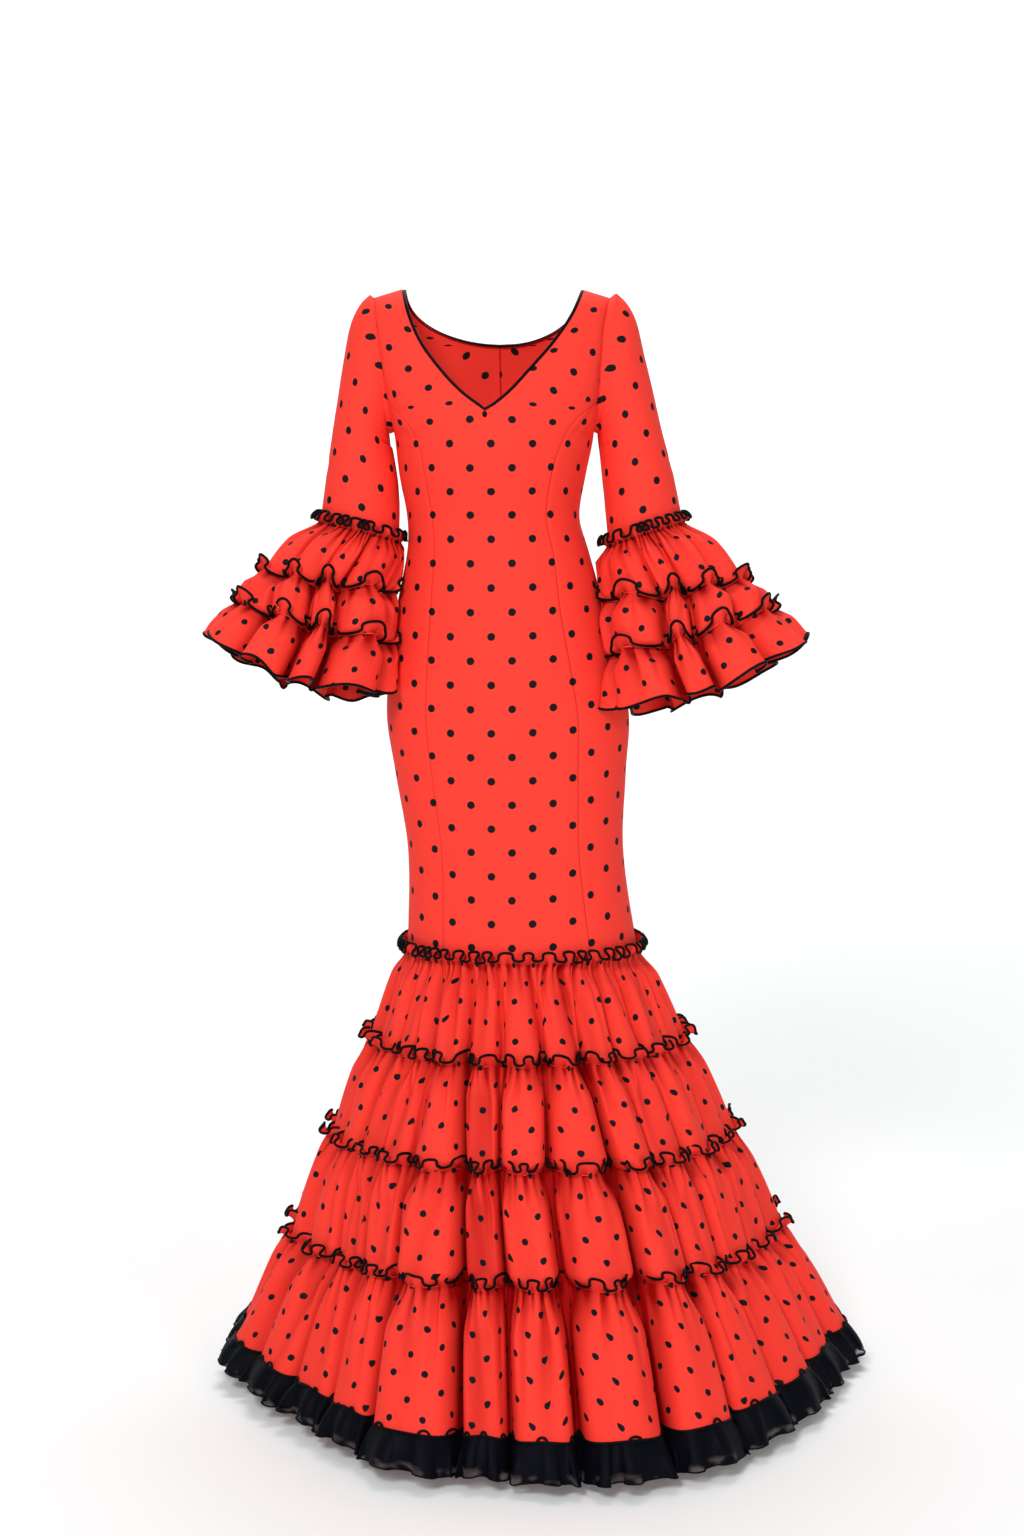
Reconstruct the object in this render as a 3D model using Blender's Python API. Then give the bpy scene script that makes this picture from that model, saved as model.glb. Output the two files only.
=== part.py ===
"""Flamenco dress, worn shape with no wearer: a fitted princess-line body, straight sleeves with three
gathered tiers, four gathered skirt tiers and a black hem ruffle.

Metres, +Z up, the front faces -Y. The origin is the middle of the shoulder line, where it is held up.
Each piece that a maker cuts is one closed wall. Walls are mid surfaces given their thickness by Solidify.
"""
import math
from collections import namedtuple

import bmesh
import bpy
from mathutils import Vector

# ---------------------------------------------------------------- driving dimensions
WALL = 0.0015                 # thickness of every cloth wall
SEAM = 0.0003                 # space left between two pieces along a seam
LAP = WALL + 2 * SEAM         # mid surface to mid surface where one piece lies on another
UP = Vector((0, 0, 1))

# ---------------------------------------------------------------- body: fitted from shoulder to knee
Section = namedtuple("Section", "level centre half_width front back")
BODY = [
    Section(0.000, -0.003, 0.1555, 0.074, 0.072),
    Section(-0.044, -0.005, 0.1490, 0.077, 0.074),
    Section(-0.082, -0.004, 0.1450, 0.092, 0.085),
    Section(-0.125, -0.003, 0.1405, 0.108, 0.092),
    Section(-0.162, -0.001, 0.1360, 0.119, 0.094),
    Section(-0.198, 0.000, 0.1320, 0.126, 0.092),
    Section(-0.245, -0.002, 0.1245, 0.118, 0.086),
    Section(-0.300, -0.001, 0.1155, 0.102, 0.081),
    Section(-0.344, 0.005, 0.1215, 0.103, 0.088),
    Section(-0.430, 0.009, 0.1415, 0.109, 0.108),
    Section(-0.560, 0.018, 0.1635, 0.113, 0.126),
    Section(-0.642, 0.022, 0.1565, 0.112, 0.118),
    Section(-0.752, 0.029, 0.1465, 0.110, 0.108),
    Section(-0.900, 0.039, 0.1580, 0.120, 0.118),
]
ROUNDNESS = 0.92              # 1 is a plain ellipse, less is squarer
FRONT_TURN = -3.5             # degrees that the centre front is turned to the wearer's right
SHOULDER_ROUND = 0.045        # height over which the body closes over the shoulder
SHOULDER_DROP = 0.0105        # fall of the shoulder seam from neck to sleeve
SHOULDER_DROP_LOW = 0.100     # height over which that fall fades out below
ARMHOLE_LOW = -0.188          # level of the underarm
ARMHOLE_HALF_DEPTH = 0.050
ARMHOLE_SEAM = 0.0007         # wider than the other seams, because the sleeve turns away there
HEM_LEVEL_OF_BODY = -0.887

# Neckline: how far the opening reaches to each side of x = 0 at each level of the front V.
NeckRow = namedtuple("NeckRow", "level left right")
NECK_FRONT = [
    NeckRow(0.000, -0.1215, 0.1195),
    NeckRow(-0.037, -0.1120, 0.1030),
    NeckRow(-0.073, -0.0960, 0.0785),
    NeckRow(-0.108, -0.0705, 0.0480),
    NeckRow(-0.138, -0.0420, 0.0200),
    NeckRow(-0.162, -0.0095, -0.0095),
]
NECK_HALF = 0.1205
NECK_BACK_DEPTH = 0.072
SCOOP_TURN = 3                # higher keeps the scoop square to the front until nearer its foot

# Princess seams: angle from the centre front or centre back, in degrees.
SeamRow = namedtuple("SeamRow", "level angle")
PRINCESS = [
    SeamRow(-0.148, 90.0),
    SeamRow(-0.158, 69.0),
    SeamRow(-0.172, 56.0),
    SeamRow(-0.198, 45.5),
    SeamRow(-0.245, 40.5),
    SeamRow(-0.344, 39.0),
    SeamRow(-0.430, 36.5),
    SeamRow(-0.900, 38.0),
]
SEAM_STEP = 0.003             # level to each side, to find how a seam slants
TIP_RISE = 0.0034             # the side panels' top edge climbs by this along the princess seam

# Levels of the body's rows. The front's take in the foot of its V, the back's the foot of its scoop.
SHOULDER_LEVELS = [0.0, -0.0012, -0.009, -0.028, -0.052]
FRONT_CHEST_LEVELS = [-0.076, -0.100, -0.125, -0.148]
BACK_CHEST_LEVELS = [-0.066, -NECK_BACK_DEPTH, -0.100, -0.125, -0.148]
LOWER_LEVELS = [-0.152, -0.162, -0.188, -0.245, -0.300, -0.350, -0.425, -0.495, -0.560, -0.642,
                -0.752, -0.830, HEM_LEVEL_OF_BODY]
HALF_FRONT_COLUMNS = 6
SIDE_COLUMNS = 5
JUST_BEHIND = 90.0001         # degrees: the back's side of a side seam

# ---------------------------------------------------------------- sleeves
# One row for each ring, from the armhole down: its inner and outer point seen from the front, as a
# distance from x = 0 and a level, then its middle and half depth along Y, and the degrees that its front
# is raised by. Lift raises both its front and its back, and is negative where they hang lower.
SleeveRing = namedtuple("SleeveRing", "inner inner_z outer outer_z middle half_depth pitch lift", defaults=(0.0,))
SLEEVES = {
    "left": [
        SleeveRing(0.1402, -0.1890, 0.1650, -0.0065, 0.003, 0.0520, 0),
        SleeveRing(0.1400, -0.1925, 0.1788, -0.0205, 0.003, 0.0535, 0),
        SleeveRing(0.1396, -0.1960, 0.1915, -0.0480, 0.003, 0.0535, 0),
        SleeveRing(0.1390, -0.2000, 0.2005, -0.0930, 0.003, 0.0530, 0),
        SleeveRing(0.1382, -0.2060, 0.2082, -0.1400, 0.002, 0.0525, 0),
        SleeveRing(0.1345, -0.2150, 0.2160, -0.1880, 0.001, 0.0520, 1),
        SleeveRing(0.1270, -0.2700, 0.2245, -0.2460, -0.001, 0.0520, 2),
        SleeveRing(0.1275, -0.3335, 0.2330, -0.3080, -0.004, 0.0540, 4),
    ],
    "right": [
        SleeveRing(0.1380, -0.1890, 0.1625, -0.0045, 0.003, 0.0520, 0),
        SleeveRing(0.1382, -0.1925, 0.1775, -0.0190, 0.003, 0.0535, 0),
        SleeveRing(0.1385, -0.1960, 0.1898, -0.0430, 0.003, 0.0535, 0),
        SleeveRing(0.1390, -0.2010, 0.2000, -0.0850, 0.003, 0.0530, 0),
        SleeveRing(0.1397, -0.2075, 0.2112, -0.1300, 0.002, 0.0525, 0),
        SleeveRing(0.1412, -0.2180, 0.2235, -0.1830, 0.001, 0.0520, 1),
        SleeveRing(0.1470, -0.2740, 0.2395, -0.2430, -0.001, 0.0520, 2),
        SleeveRing(0.1535, -0.3390, 0.2530, -0.3085, -0.004, 0.0540, 4),
    ],
}
SLEEVE_COLUMNS = 20

# Lines where the lower sleeve tiers end, one row for each line below the elbow, in the same columns.
CUFFS = {
    "left": [
        SleeveRing(0.1320, -0.3970, 0.3110, -0.3700, -0.035, 0.086, 9, -0.007),
        SleeveRing(0.1310, -0.4640, 0.3450, -0.4110, -0.055, 0.101, 11, -0.011),
        SleeveRing(0.1320, -0.5280, 0.3880, -0.4440, -0.078, 0.114, 10, -0.028),
    ],
    "right": [
        SleeveRing(0.1430, -0.4070, 0.3370, -0.3820, -0.035, 0.086, 9, -0.007),
        SleeveRing(0.1420, -0.4830, 0.3750, -0.4180, -0.055, 0.101, 11, -0.011),
        SleeveRing(0.1410, -0.5490, 0.4200, -0.4520, -0.078, 0.114, 10, -0.028),
    ],
}
# Valleys between the folds of a cuff: angle from its front towards its outer side, relative depth, and how
# far the tube that follows the valley stands back between its broader neighbours.
CuffFold = namedtuple("CuffFold", "angle depth back")
CUFF_FOLDS = [
    CuffFold(-72, 0.9, 0.0),
    CuffFold(-14, 1.2, 0.014),
    CuffFold(4, 1.1, 0.0),
    CuffFold(38, 0.9, 0.0),
    CuffFold(80, 0.7, 0.0),
    CuffFold(124, 1.0, 0.0),
    CuffFold(164, 1.1, 0.0),
    CuffFold(204, 0.9, 0.0),
    CuffFold(246, 1.1, 0.0),
]
CUFF_SHIFT = (0, 3, -3, 0)            # degrees that the folds wander, line by line
CUFF_BACK_SHARES = (0.4, 1.0, 1.0)    # share of a narrow tube's set-back in tier 1 to 3
CUFF_DEPTHS = (0.0, 0.020, 0.025, 0.032)
CUFF_PUFF = 0.012
CUFF_PUFF_AT = 0.34                   # part of a sleeve tier's height where it swells most
ELBOW_EASE = 0.0004                   # the first tier clears the sleeve's coarser ring by this more
CUFF_HEADER_HEIGHT = 0.014
CUFF_HEADER_FLARE = 0.008
CUFF_LINE_CLEAR = 0.013               # a sewn line's space to the body, which leaves room for a header
CLOTH_CLEAR = 0.005                   # the least space from a cuff to the body, mid surface to mid surface

# ---------------------------------------------------------------- skirt
# One row for each gathered line below the knee line: its middle, half width and half depth, and its
# levels at the side and at the front.
SkirtLine = namedtuple("SkirtLine", "middle half_width half_depth side_z front_z")
SKIRT_LINES = [
    SkirtLine(0.0450, 0.2175, 0.209, -1.0107, -1.0054),
    SkirtLine(0.0520, 0.2800, 0.271, -1.1446, -1.1298),
    SkirtLine(0.0565, 0.3440, 0.336, -1.2825, -1.2611),
    SkirtLine(0.0635, 0.4250, 0.432, -1.4200, -1.4180),
]
HEM_LINE = SkirtLine(0.0650, 0.4460, 0.455, -1.4600, -1.4600)
# The folds, each from its first valley: the valley's angle from the front in degrees at those lines, its
# relative depth, and how far the fold stands out at line 5 beyond an even ring, in metres.
SkirtFold = namedtuple("SkirtFold", "line_2 line_3 line_4 line_5 depth reach")
SKIRT_FOLDS = [
    SkirtFold(-76, -79, -74, -75, 0.8, -0.027),
    SkirtFold(-58, -64, -58, -59, 0.8, -0.032),
    SkirtFold(-47, -51, -46, -45, 0.6, -0.020),
    SkirtFold(-38, -38, -35, -33, 0.8, 0.010),
    SkirtFold(-24, -20, -17, -15, 1.3, 0.004),
    SkirtFold(-10, -10, -7, -6, 1.0, 0.006),
    SkirtFold(6, 4, 6, 6, 1.2, 0.020),
    SkirtFold(22, 24, 24, 22, 1.4, 0.004),
    SkirtFold(35, 37, 38, 37, 0.9, -0.016),
    SkirtFold(50, 51, 51, 53, 0.9, -0.032),
    SkirtFold(67, 68, 66, 69, 0.8, -0.030),
    SkirtFold(83, 84, 83, 85, 1.0, 0.002),
    SkirtFold(98, 97, 99, 98, 0.8, 0.004),
    SkirtFold(112, 114, 113, 112, 1.1, -0.010),
    SkirtFold(129, 128, 130, 129, 0.8, 0.006),
    SkirtFold(144, 146, 144, 147, 1.2, -0.008),
    SkirtFold(162, 160, 162, 161, 0.9, 0.010),
    SkirtFold(177, 178, 176, 178, 1.3, 0.006),
    SkirtFold(193, 191, 192, 191, 0.8, -0.006),
    SkirtFold(207, 209, 207, 208, 1.1, 0.008),
    SkirtFold(224, 222, 224, 223, 0.9, -0.008),
    SkirtFold(239, 240, 238, 240, 1.2, 0.004),
    SkirtFold(254, 253, 255, 254, 0.8, -0.006),
    SkirtFold(269, 268, 270, 269, 1.0, -0.003),
]
SKIRT_DEPTHS = (0.0, 0.024, 0.030, 0.037, 0.041)
SKIRT_REACHES = (0.0, 0.10, 0.30, 0.65, 1.0)   # share of each fold's reach at line 1 to 5
SKIRT_BACKS = {1: 0.009, 2: 0.007, 4: 0.017, 6: 0.007, 8: 0.009}   # set-back of narrow tubes, by fold
SKIRT_BACK_SHARES = (0.3, 0.9, 1.0, 0.7)       # share of it in tier 1 to 4
SKIRT_PUFF = 0.012
HEADER_HEIGHT = 0.016
HEADER_FLARE = 0.008
PUFF_AT = 0.30                        # part of a skirt tier's height where it swells most
FOLD_COLUMNS = (0.0, 0.22, 0.5, 0.78)  # places of the wall's columns within one fold
FOLD_SHARPNESS = 0.6                  # less makes the valleys narrower and the crests broader
MITRE_LEAST = 0.5                     # a ring's sharp corner moves out by at most twice the distance

# ---------------------------------------------------------------- hem ruffle and piping
HEM_WAVE = (0.009, 0.0, -0.009, 0.0)  # out and in over one wave of the black ruffle
PIPING_RADIUS = 0.0022
NECK_STEP = 0.002                     # level between two points that give the neckline's direction
NECK_PROBE = 1.0                      # degrees into the opening, to find the way off the cut edge
V_LIFT = 1.35                         # the V is wide, so its tip is lifted by a little more than one radius

Finish = namedtuple("Finish", "colour roughness")
RED = Finish((0.900, 0.058, 0.040, 1.0), 0.62)
BLACK_ORGANZA = Finish((0.012, 0.016, 0.022, 1.0), 0.50)
BLACK_PIPING = Finish((0.010, 0.012, 0.016, 1.0), 0.38)


# ---------------------------------------------------------------- small tools
def clear_scene():
    for old in list(bpy.data.objects):
        bpy.data.objects.remove(old, do_unlink=True)


def material(name, finish):
    made = bpy.data.materials.new(name)
    made.use_nodes = True
    shader = made.node_tree.nodes["Principled BSDF"]
    shader.inputs["Base Color"].default_value = finish.colour
    shader.inputs["Roughness"].default_value = finish.roughness
    shader.inputs["Metallic"].default_value = 0.0
    made.diffuse_color = finish.colour
    return made


def smooth_read(table, column, level):
    """A column of a table at any level, on a smooth curve through its rows (levels fall row by row)."""
    levels = [row.level for row in table]
    values = [getattr(row, column) for row in table]
    if level >= levels[0]:
        return values[0]
    if level <= levels[-1]:
        return values[-1]
    last = len(table) - 1
    row = max(i for i in range(last) if levels[i] >= level)

    def slope(i):
        before = max(i - 1, 0)
        after = min(i + 1, last)
        return (values[after] - values[before]) / (levels[after] - levels[before])

    span = levels[row + 1] - levels[row]
    part = (level - levels[row]) / span
    rise = part * part * (3 - 2 * part)
    start = part * (1 - part) ** 2
    end = -part * part * (1 - part)
    straight = values[row] * (1 - rise) + values[row + 1] * rise
    return straight + span * (start * slope(row) + end * slope(row + 1))


def between(first, second, part):
    """A row part of the way from one row to another of the same table."""
    return type(first)(*(a + (b - a) * part for a, b in zip(first, second)))


def grid_wall(name, rows, finish, closed=False, extra_rows=None):
    """One closed wall over a grid of points: rows of equal length, joined round when closed."""
    bm = bmesh.new()
    for sheet in (rows, extra_rows):
        if sheet is None:
            continue
        points = [list(row) + ([row[0]] if closed else []) for row in sheet]
        across = len(points[0]) - 1
        along = len(points) - 1
        made = bmesh.ops.create_grid(bm, x_segments=across, y_segments=along, size=0.5)
        for vert in made["verts"]:
            column = round((vert.co.x + 0.5) * across)
            row = round((vert.co.y + 0.5) * along)
            vert.co = points[row][column]
    bmesh.ops.remove_doubles(bm, verts=bm.verts, dist=0.00002)
    bmesh.ops.recalc_face_normals(bm, faces=bm.faces)
    mesh = bpy.data.meshes.new(name)
    bm.to_mesh(mesh)
    bm.free()
    mesh.shade_smooth()
    mesh.materials.append(material(name, finish))
    piece = bpy.data.objects.new(name, mesh)
    bpy.context.scene.collection.objects.link(piece)
    wall = piece.modifiers.new("cloth thickness", "SOLIDIFY")
    wall.thickness = WALL
    wall.offset = 0.0
    wall.use_even_offset = True
    wall.use_quality_normals = True
    return piece


# ---------------------------------------------------------------- body
def armhole_half(level):
    """Half the armhole's width along Y at a level, nothing below the underarm."""
    if level <= ARMHOLE_LOW or level > 0:
        return 0.0
    middle = ARMHOLE_LOW / 2
    return ARMHOLE_HALF_DEPTH * math.sqrt(max(0.0, 1 - ((level - middle) / middle) ** 2))


def on_body(level, angle, out=0.0):
    """A point of the body's cloth: angle 0 is the front, 90 the +X side, 180 the back."""
    centre = smooth_read(BODY, "centre", level)
    half_width = smooth_read(BODY, "half_width", level) + out
    facing = math.cos(math.radians(angle))
    reach = math.sin(math.radians(angle))
    is_front = abs(angle) <= 90
    depth = smooth_read(BODY, "front" if is_front else "back", level) + out
    if level > -SHOULDER_ROUND:
        depth *= math.sqrt(max(0.0, 1 - (1 + level / SHOULDER_ROUND) ** 2))
    edge = armhole_half(level)
    x = half_width * math.copysign(abs(reach) ** ROUNDNESS, reach)
    y = SEAM / 2 + edge + (depth - edge) * abs(facing) ** ROUNDNESS
    fade = min(1.0, max(0.0, 1 + level / SHOULDER_DROP_LOW))
    beyond_neck = min(1.0, max(0.0, (abs(x) - NECK_HALF) / (half_width - NECK_HALF)))
    z = level - SHOULDER_DROP * fade * beyond_neck
    return Vector((centre + x, -y if is_front else y, z))


def angle_at(level, x):
    """The front angle at which the body reaches an x."""
    centre = smooth_read(BODY, "centre", level)
    half_width = smooth_read(BODY, "half_width", level)
    share = (x - centre) / half_width
    share = math.copysign(min(1.0, abs(share)) ** (1 / ROUNDNESS), share)
    return math.degrees(math.asin(share))


def half_seam_angle(level):
    """Half a seam's width as an angle on the body, more where the princess seam runs aslant."""
    reach = smooth_read(BODY, "half_width", level)
    above = smooth_read(PRINCESS, "angle", level + SEAM_STEP)
    run = above - smooth_read(PRINCESS, "angle", level - SEAM_STEP)
    slant = math.radians(run) * reach / (2 * SEAM_STEP)
    return math.degrees(SEAM / 2 * math.hypot(1, slant) / reach)


def princess_angle(level, side, back):
    """Where a princess seam runs: side is -1 or 1."""
    from_middle = smooth_read(PRINCESS, "angle", level)
    if back:
        turned = 180 * side + FRONT_TURN - side * from_middle
        return max(90.0, turned) if side > 0 else min(-90.0, turned)
    turned = FRONT_TURN + side * from_middle
    return min(90.0, turned) if side > 0 else max(-90.0, turned)


def front_neck_angle(level, side):
    """The neckline's angle, or the centre front's where the V has closed."""
    if level <= NECK_FRONT[-1].level:
        return FRONT_TURN
    return angle_at(level, smooth_read(NECK_FRONT, "left" if side < 0 else "right", level))


def back_neck_angle(level, side):
    """The back neckline's angle, or the centre back's where the scoop has closed."""
    if level <= -NECK_BACK_DEPTH:
        return 180 * side + FRONT_TURN
    x = side * NECK_HALF * math.sqrt(1 - (level / NECK_BACK_DEPTH) ** 2)
    middle = 180 * side + FRONT_TURN
    mirrored = 180 * side - angle_at(level, x)
    part = min(1.0, -level / NECK_BACK_DEPTH)
    return mirrored + (middle - 180 * side) * part ** SCOOP_TURN


def panel_row(level, start, end, columns, rise=0.0):
    """Points of one row; rise lifts its end above its start."""
    parts = [i / columns for i in range(columns + 1)]
    return [on_body(level + rise * part, start + (end - start) * part) for part in parts]


def front_half(side):
    """Half of the centre front, from the armhole or princess seam to the V or the centre front."""
    rows = []
    for level in SHOULDER_LEVELS + FRONT_CHEST_LEVELS + LOWER_LEVELS:
        outer = 90.0 * side
        if level in LOWER_LEVELS:
            outer = princess_angle(level, side, back=False) - side * half_seam_angle(level)
        rows.append(panel_row(level, outer, front_neck_angle(level, side), HALF_FRONT_COLUMNS))
    return rows


def make_centre_front():
    return grid_wall("centre_front", front_half(-1), RED, extra_rows=front_half(1))


def make_side_panel(name, side, back):
    """Side front or side back: from the princess seam to the side seam, up to the armhole."""
    rows = []
    for level in LOWER_LEVELS:
        inner = princess_angle(level, side, back) + side * half_seam_angle(level) * (-1 if back else 1)
        outer = side * (JUST_BEHIND if back else 90.0)
        rise = TIP_RISE if level == LOWER_LEVELS[0] else 0.0
        rows.append(panel_row(level - (SEAM if rise else 0.0), inner, outer, SIDE_COLUMNS, rise))
    return grid_wall(name, rows, RED)


def make_centre_back(name, side):
    """Half of the centre back, between the centre back seam or the scoop and the princess seam."""
    rows = []
    for level in SHOULDER_LEVELS + BACK_CHEST_LEVELS + LOWER_LEVELS:
        outer = side * JUST_BEHIND
        if level in LOWER_LEVELS:
            outer = princess_angle(level, side, back=True) + side * half_seam_angle(level)
        inner = back_neck_angle(level, side) - side * half_seam_angle(level)
        rows.append(panel_row(level, outer, inner, HALF_FRONT_COLUMNS))
    return grid_wall(name, rows, RED)


# ---------------------------------------------------------------- hoops: the lines of sleeves and skirt
Hoop = namedtuple("Hoop", "centre side front lift")


def hoop_point(hoop, angle, out=0.0):
    """A point on a hoop: angle 0 is its front, 90 its outer or +X side; out is measured outward."""
    across = math.sin(math.radians(angle))
    facing = math.cos(math.radians(angle))
    side = hoop.side * (1 + out / hoop.side.length)
    front = hoop.front * (1 + out / hoop.front.length)
    return hoop.centre + side * across + front * facing + UP * hoop.lift * facing * facing


def hoop_up(hoop):
    """The direction square to a hoop, pointing upward."""
    square = hoop.side.cross(hoop.front).normalized()
    return square if square.z > 0 else -square


def sleeve_hoop(ring, sign):
    """The hoop of a sleeve ring; sign is -1 on the left, where x is turned."""
    inner = Vector((sign * ring.inner, ring.middle, ring.inner_z))
    outer = Vector((sign * ring.outer, ring.middle, ring.outer_z))
    pitch = math.radians(ring.pitch)
    front = Vector((0, -math.cos(pitch), math.sin(pitch))) * ring.half_depth
    return Hoop((inner + outer) / 2, (outer - inner) / 2, front, ring.lift)


def skirt_hoop(line):
    centre = Vector((line.middle, 0, line.side_z))
    side = Vector((line.half_width, 0, 0))
    return Hoop(centre, side, Vector((0, -line.half_depth, 0)), line.front_z - line.side_z)


def moved_out(points, distance, up):
    """A closed ring moved outward by an even distance, measured square to each of its straight edges."""
    count = len(points)
    middle = sum(points, Vector()) / count
    moved = []
    for i, here in enumerate(points):
        before = (here - points[i - 1]).cross(up).normalized()
        after = (points[(i + 1) % count] - here).cross(up).normalized()
        square = (before + after).normalized()
        if i == 0:
            turn = 1 if square.dot(here - middle) > 0 else -1
        step = distance / max(MITRE_LEAST, square.dot(after))
        moved.append(here + square * turn * step)
    return moved


# ---------------------------------------------------------------- folds
def fold_places(folds):
    """Fold coordinates of all columns: the whole part counts folds, the rest is the place within one."""
    return [fold + place for fold in range(len(folds)) for place in FOLD_COLUMNS]


def fold_angle(valleys, place):
    fold = int(place)
    start = valleys[fold]
    end = valleys[fold + 1] if fold + 1 < len(valleys) else valleys[0] + 360
    return start + (end - start) * (place - fold)


def fold_inset(depths, place):
    """How far the cloth stands in from the crests, for valleys of these depths."""
    fold = int(place)
    part = place - fold
    depth = depths[fold] * (1 - part) + depths[(fold + 1) % len(depths)] * part
    return depth * (1 - math.sin(math.pi * part) ** FOLD_SHARPNESS)


def fold_reach(reaches, place):
    """How far the cloth stands out beyond an even ring, level with each fold's own value at its crest."""
    fold = math.floor(place - 0.5)
    part = place - 0.5 - fold
    return reaches[fold % len(reaches)] * (1 - part) + reaches[(fold + 1) % len(reaches)] * part


def folded_row(hoop, valleys, depths, places, out=0.0, reaches=None, backs=None):
    row = []
    for place in places:
        stand = out - fold_inset(depths, place)
        if reaches:
            stand += fold_reach(reaches, place)
        if backs:
            stand -= backs[int(place)] * math.sin(math.pi * place) ** 2
        row.append(hoop_point(hoop, fold_angle(valleys, place), stand))
    return row


# ---------------------------------------------------------------- sleeves
def armhole_ring(side_name, columns):
    """The sleeve's top ring: the armhole's line, moved out sideways by half a wall and a seam."""
    sign = -1 if side_name == "left" else 1
    middle = ARMHOLE_LOW / 2
    ring = []
    for i in range(columns):
        turn = 2 * math.pi * i / columns
        level = middle + middle * math.cos(turn)
        edge = on_body(level, sign * 90)
        edge.y = -ARMHOLE_HALF_DEPTH * math.sin(turn)
        edge.x += sign * (WALL / 2 + ARMHOLE_SEAM)
        ring.append(edge)
    return ring


def sleeve_rows(side_name):
    sign = -1 if side_name == "left" else 1
    rows = [armhole_ring(side_name, SLEEVE_COLUMNS)]
    for ring in SLEEVES[side_name]:
        hoop = sleeve_hoop(ring, sign)
        rows.append([hoop_point(hoop, 360 * i / SLEEVE_COLUMNS - 90) for i in range(SLEEVE_COLUMNS)])
    return rows


def make_sleeve(side_name):
    return grid_wall("sleeve_" + side_name, sleeve_rows(side_name), RED, closed=True)


def clear_of_body(point, sign, clearance):
    """A point of a cuff pushed sideways until it is this far from the body."""
    centre = smooth_read(BODY, "centre", point.z)
    reach = smooth_read(BODY, "half_width", point.z) + clearance
    depth = smooth_read(BODY, "front" if point.y < 0 else "back", point.z) + clearance
    if abs(point.y) >= depth:
        return point
    share = 1 - (abs(point.y) / depth) ** (2 / ROUNDNESS)
    limit = centre * sign + reach * share ** (ROUNDNESS / 2)
    return Vector((sign * max(sign * point.x, limit), point.y, point.z))


def cuff_valleys(line):
    return [fold.angle + CUFF_SHIFT[line] for fold in CUFF_FOLDS]


def cuff_backs(tier):
    return [fold.back * CUFF_BACK_SHARES[tier - 1] for fold in CUFF_FOLDS]


def cuff_line(side_name, line):
    """The folded row where sleeve tier number line ends; line 0 is the plain elbow ring."""
    sign = -1 if side_name == "left" else 1
    ring = SLEEVES[side_name][-1] if line == 0 else CUFFS[side_name][line - 1]
    depths = [fold.depth * CUFF_DEPTHS[line] for fold in CUFF_FOLDS]
    free = line == len(CUFFS[side_name])
    row = folded_row(sleeve_hoop(ring, sign), cuff_valleys(line), depths, fold_places(CUFF_FOLDS),
                     backs=cuff_backs(line) if free else None)
    if line == 0:
        return row
    clearance = CLOTH_CLEAR if free else CUFF_LINE_CLEAR
    return [clear_of_body(point, sign, clearance) for point in row]


def make_sleeve_tier(side_name, tier):
    """One gathered tier: a flared header above its sewn line, a swell below it, then the open edge."""
    sign = -1 if side_name == "left" else 1
    rings = [SLEEVES[side_name][-1]] + CUFFS[side_name]
    top_hoop = sleeve_hoop(rings[tier - 1], sign)
    up = hoop_up(top_hoop)
    sewn = moved_out(cuff_line(side_name, tier - 1), LAP + (ELBOW_EASE if tier == 1 else 0), up)
    header = [point + up * CUFF_HEADER_HEIGHT for point in moved_out(sewn, CUFF_HEADER_FLARE, up)]
    swell_hoop = sleeve_hoop(between(rings[tier - 1], rings[tier], CUFF_PUFF_AT), sign)
    valleys = [a + (b - a) * CUFF_PUFF_AT for a, b in zip(cuff_valleys(tier - 1), cuff_valleys(tier))]
    depth = CUFF_DEPTHS[tier - 1] * (1 - CUFF_PUFF_AT) + CUFF_DEPTHS[tier] * CUFF_PUFF_AT
    depths = [fold.depth * depth for fold in CUFF_FOLDS]
    swell = folded_row(swell_hoop, valleys, depths, fold_places(CUFF_FOLDS), CUFF_PUFF, backs=cuff_backs(tier))
    rows = [header, sewn, swell, cuff_line(side_name, tier)]
    clear_rows = [[clear_of_body(point, sign, CLOTH_CLEAR) for point in row] for row in rows]
    return grid_wall(f"sleeve_{side_name}_tier_{tier}", clear_rows, RED, closed=True)


# ---------------------------------------------------------------- skirt
def skirt_valleys(line):
    """Angles of the valleys at line 1 to 5; the folds start at line 1 where line 2 has them."""
    return [fold[max(line - 2, 0)] for fold in SKIRT_FOLDS]


def skirt_depths(line):
    return [fold.depth * SKIRT_DEPTHS[line - 1] for fold in SKIRT_FOLDS]


def skirt_reaches(line):
    return [fold.reach * SKIRT_REACHES[line - 1] for fold in SKIRT_FOLDS]


def skirt_backs(tier):
    return [SKIRT_BACKS.get(fold, 0.0) * SKIRT_BACK_SHARES[tier - 1] for fold in range(len(SKIRT_FOLDS))]


def knee_hoop():
    """Line 1, sewn round the body's lower edge."""
    left, right = (on_body(HEM_LEVEL_OF_BODY, angle) for angle in (-90, 90))
    front, back = (smooth_read(BODY, half, HEM_LEVEL_OF_BODY) for half in ("front", "back"))
    depth = (front + back) / 2
    return Hoop((left + right) / 2, (right - left) / 2, Vector((0, -depth, 0)), 0.0)


def skirt_hoop_of_line(line):
    return knee_hoop() if line == 1 else skirt_hoop(SKIRT_LINES[line - 2])


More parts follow.
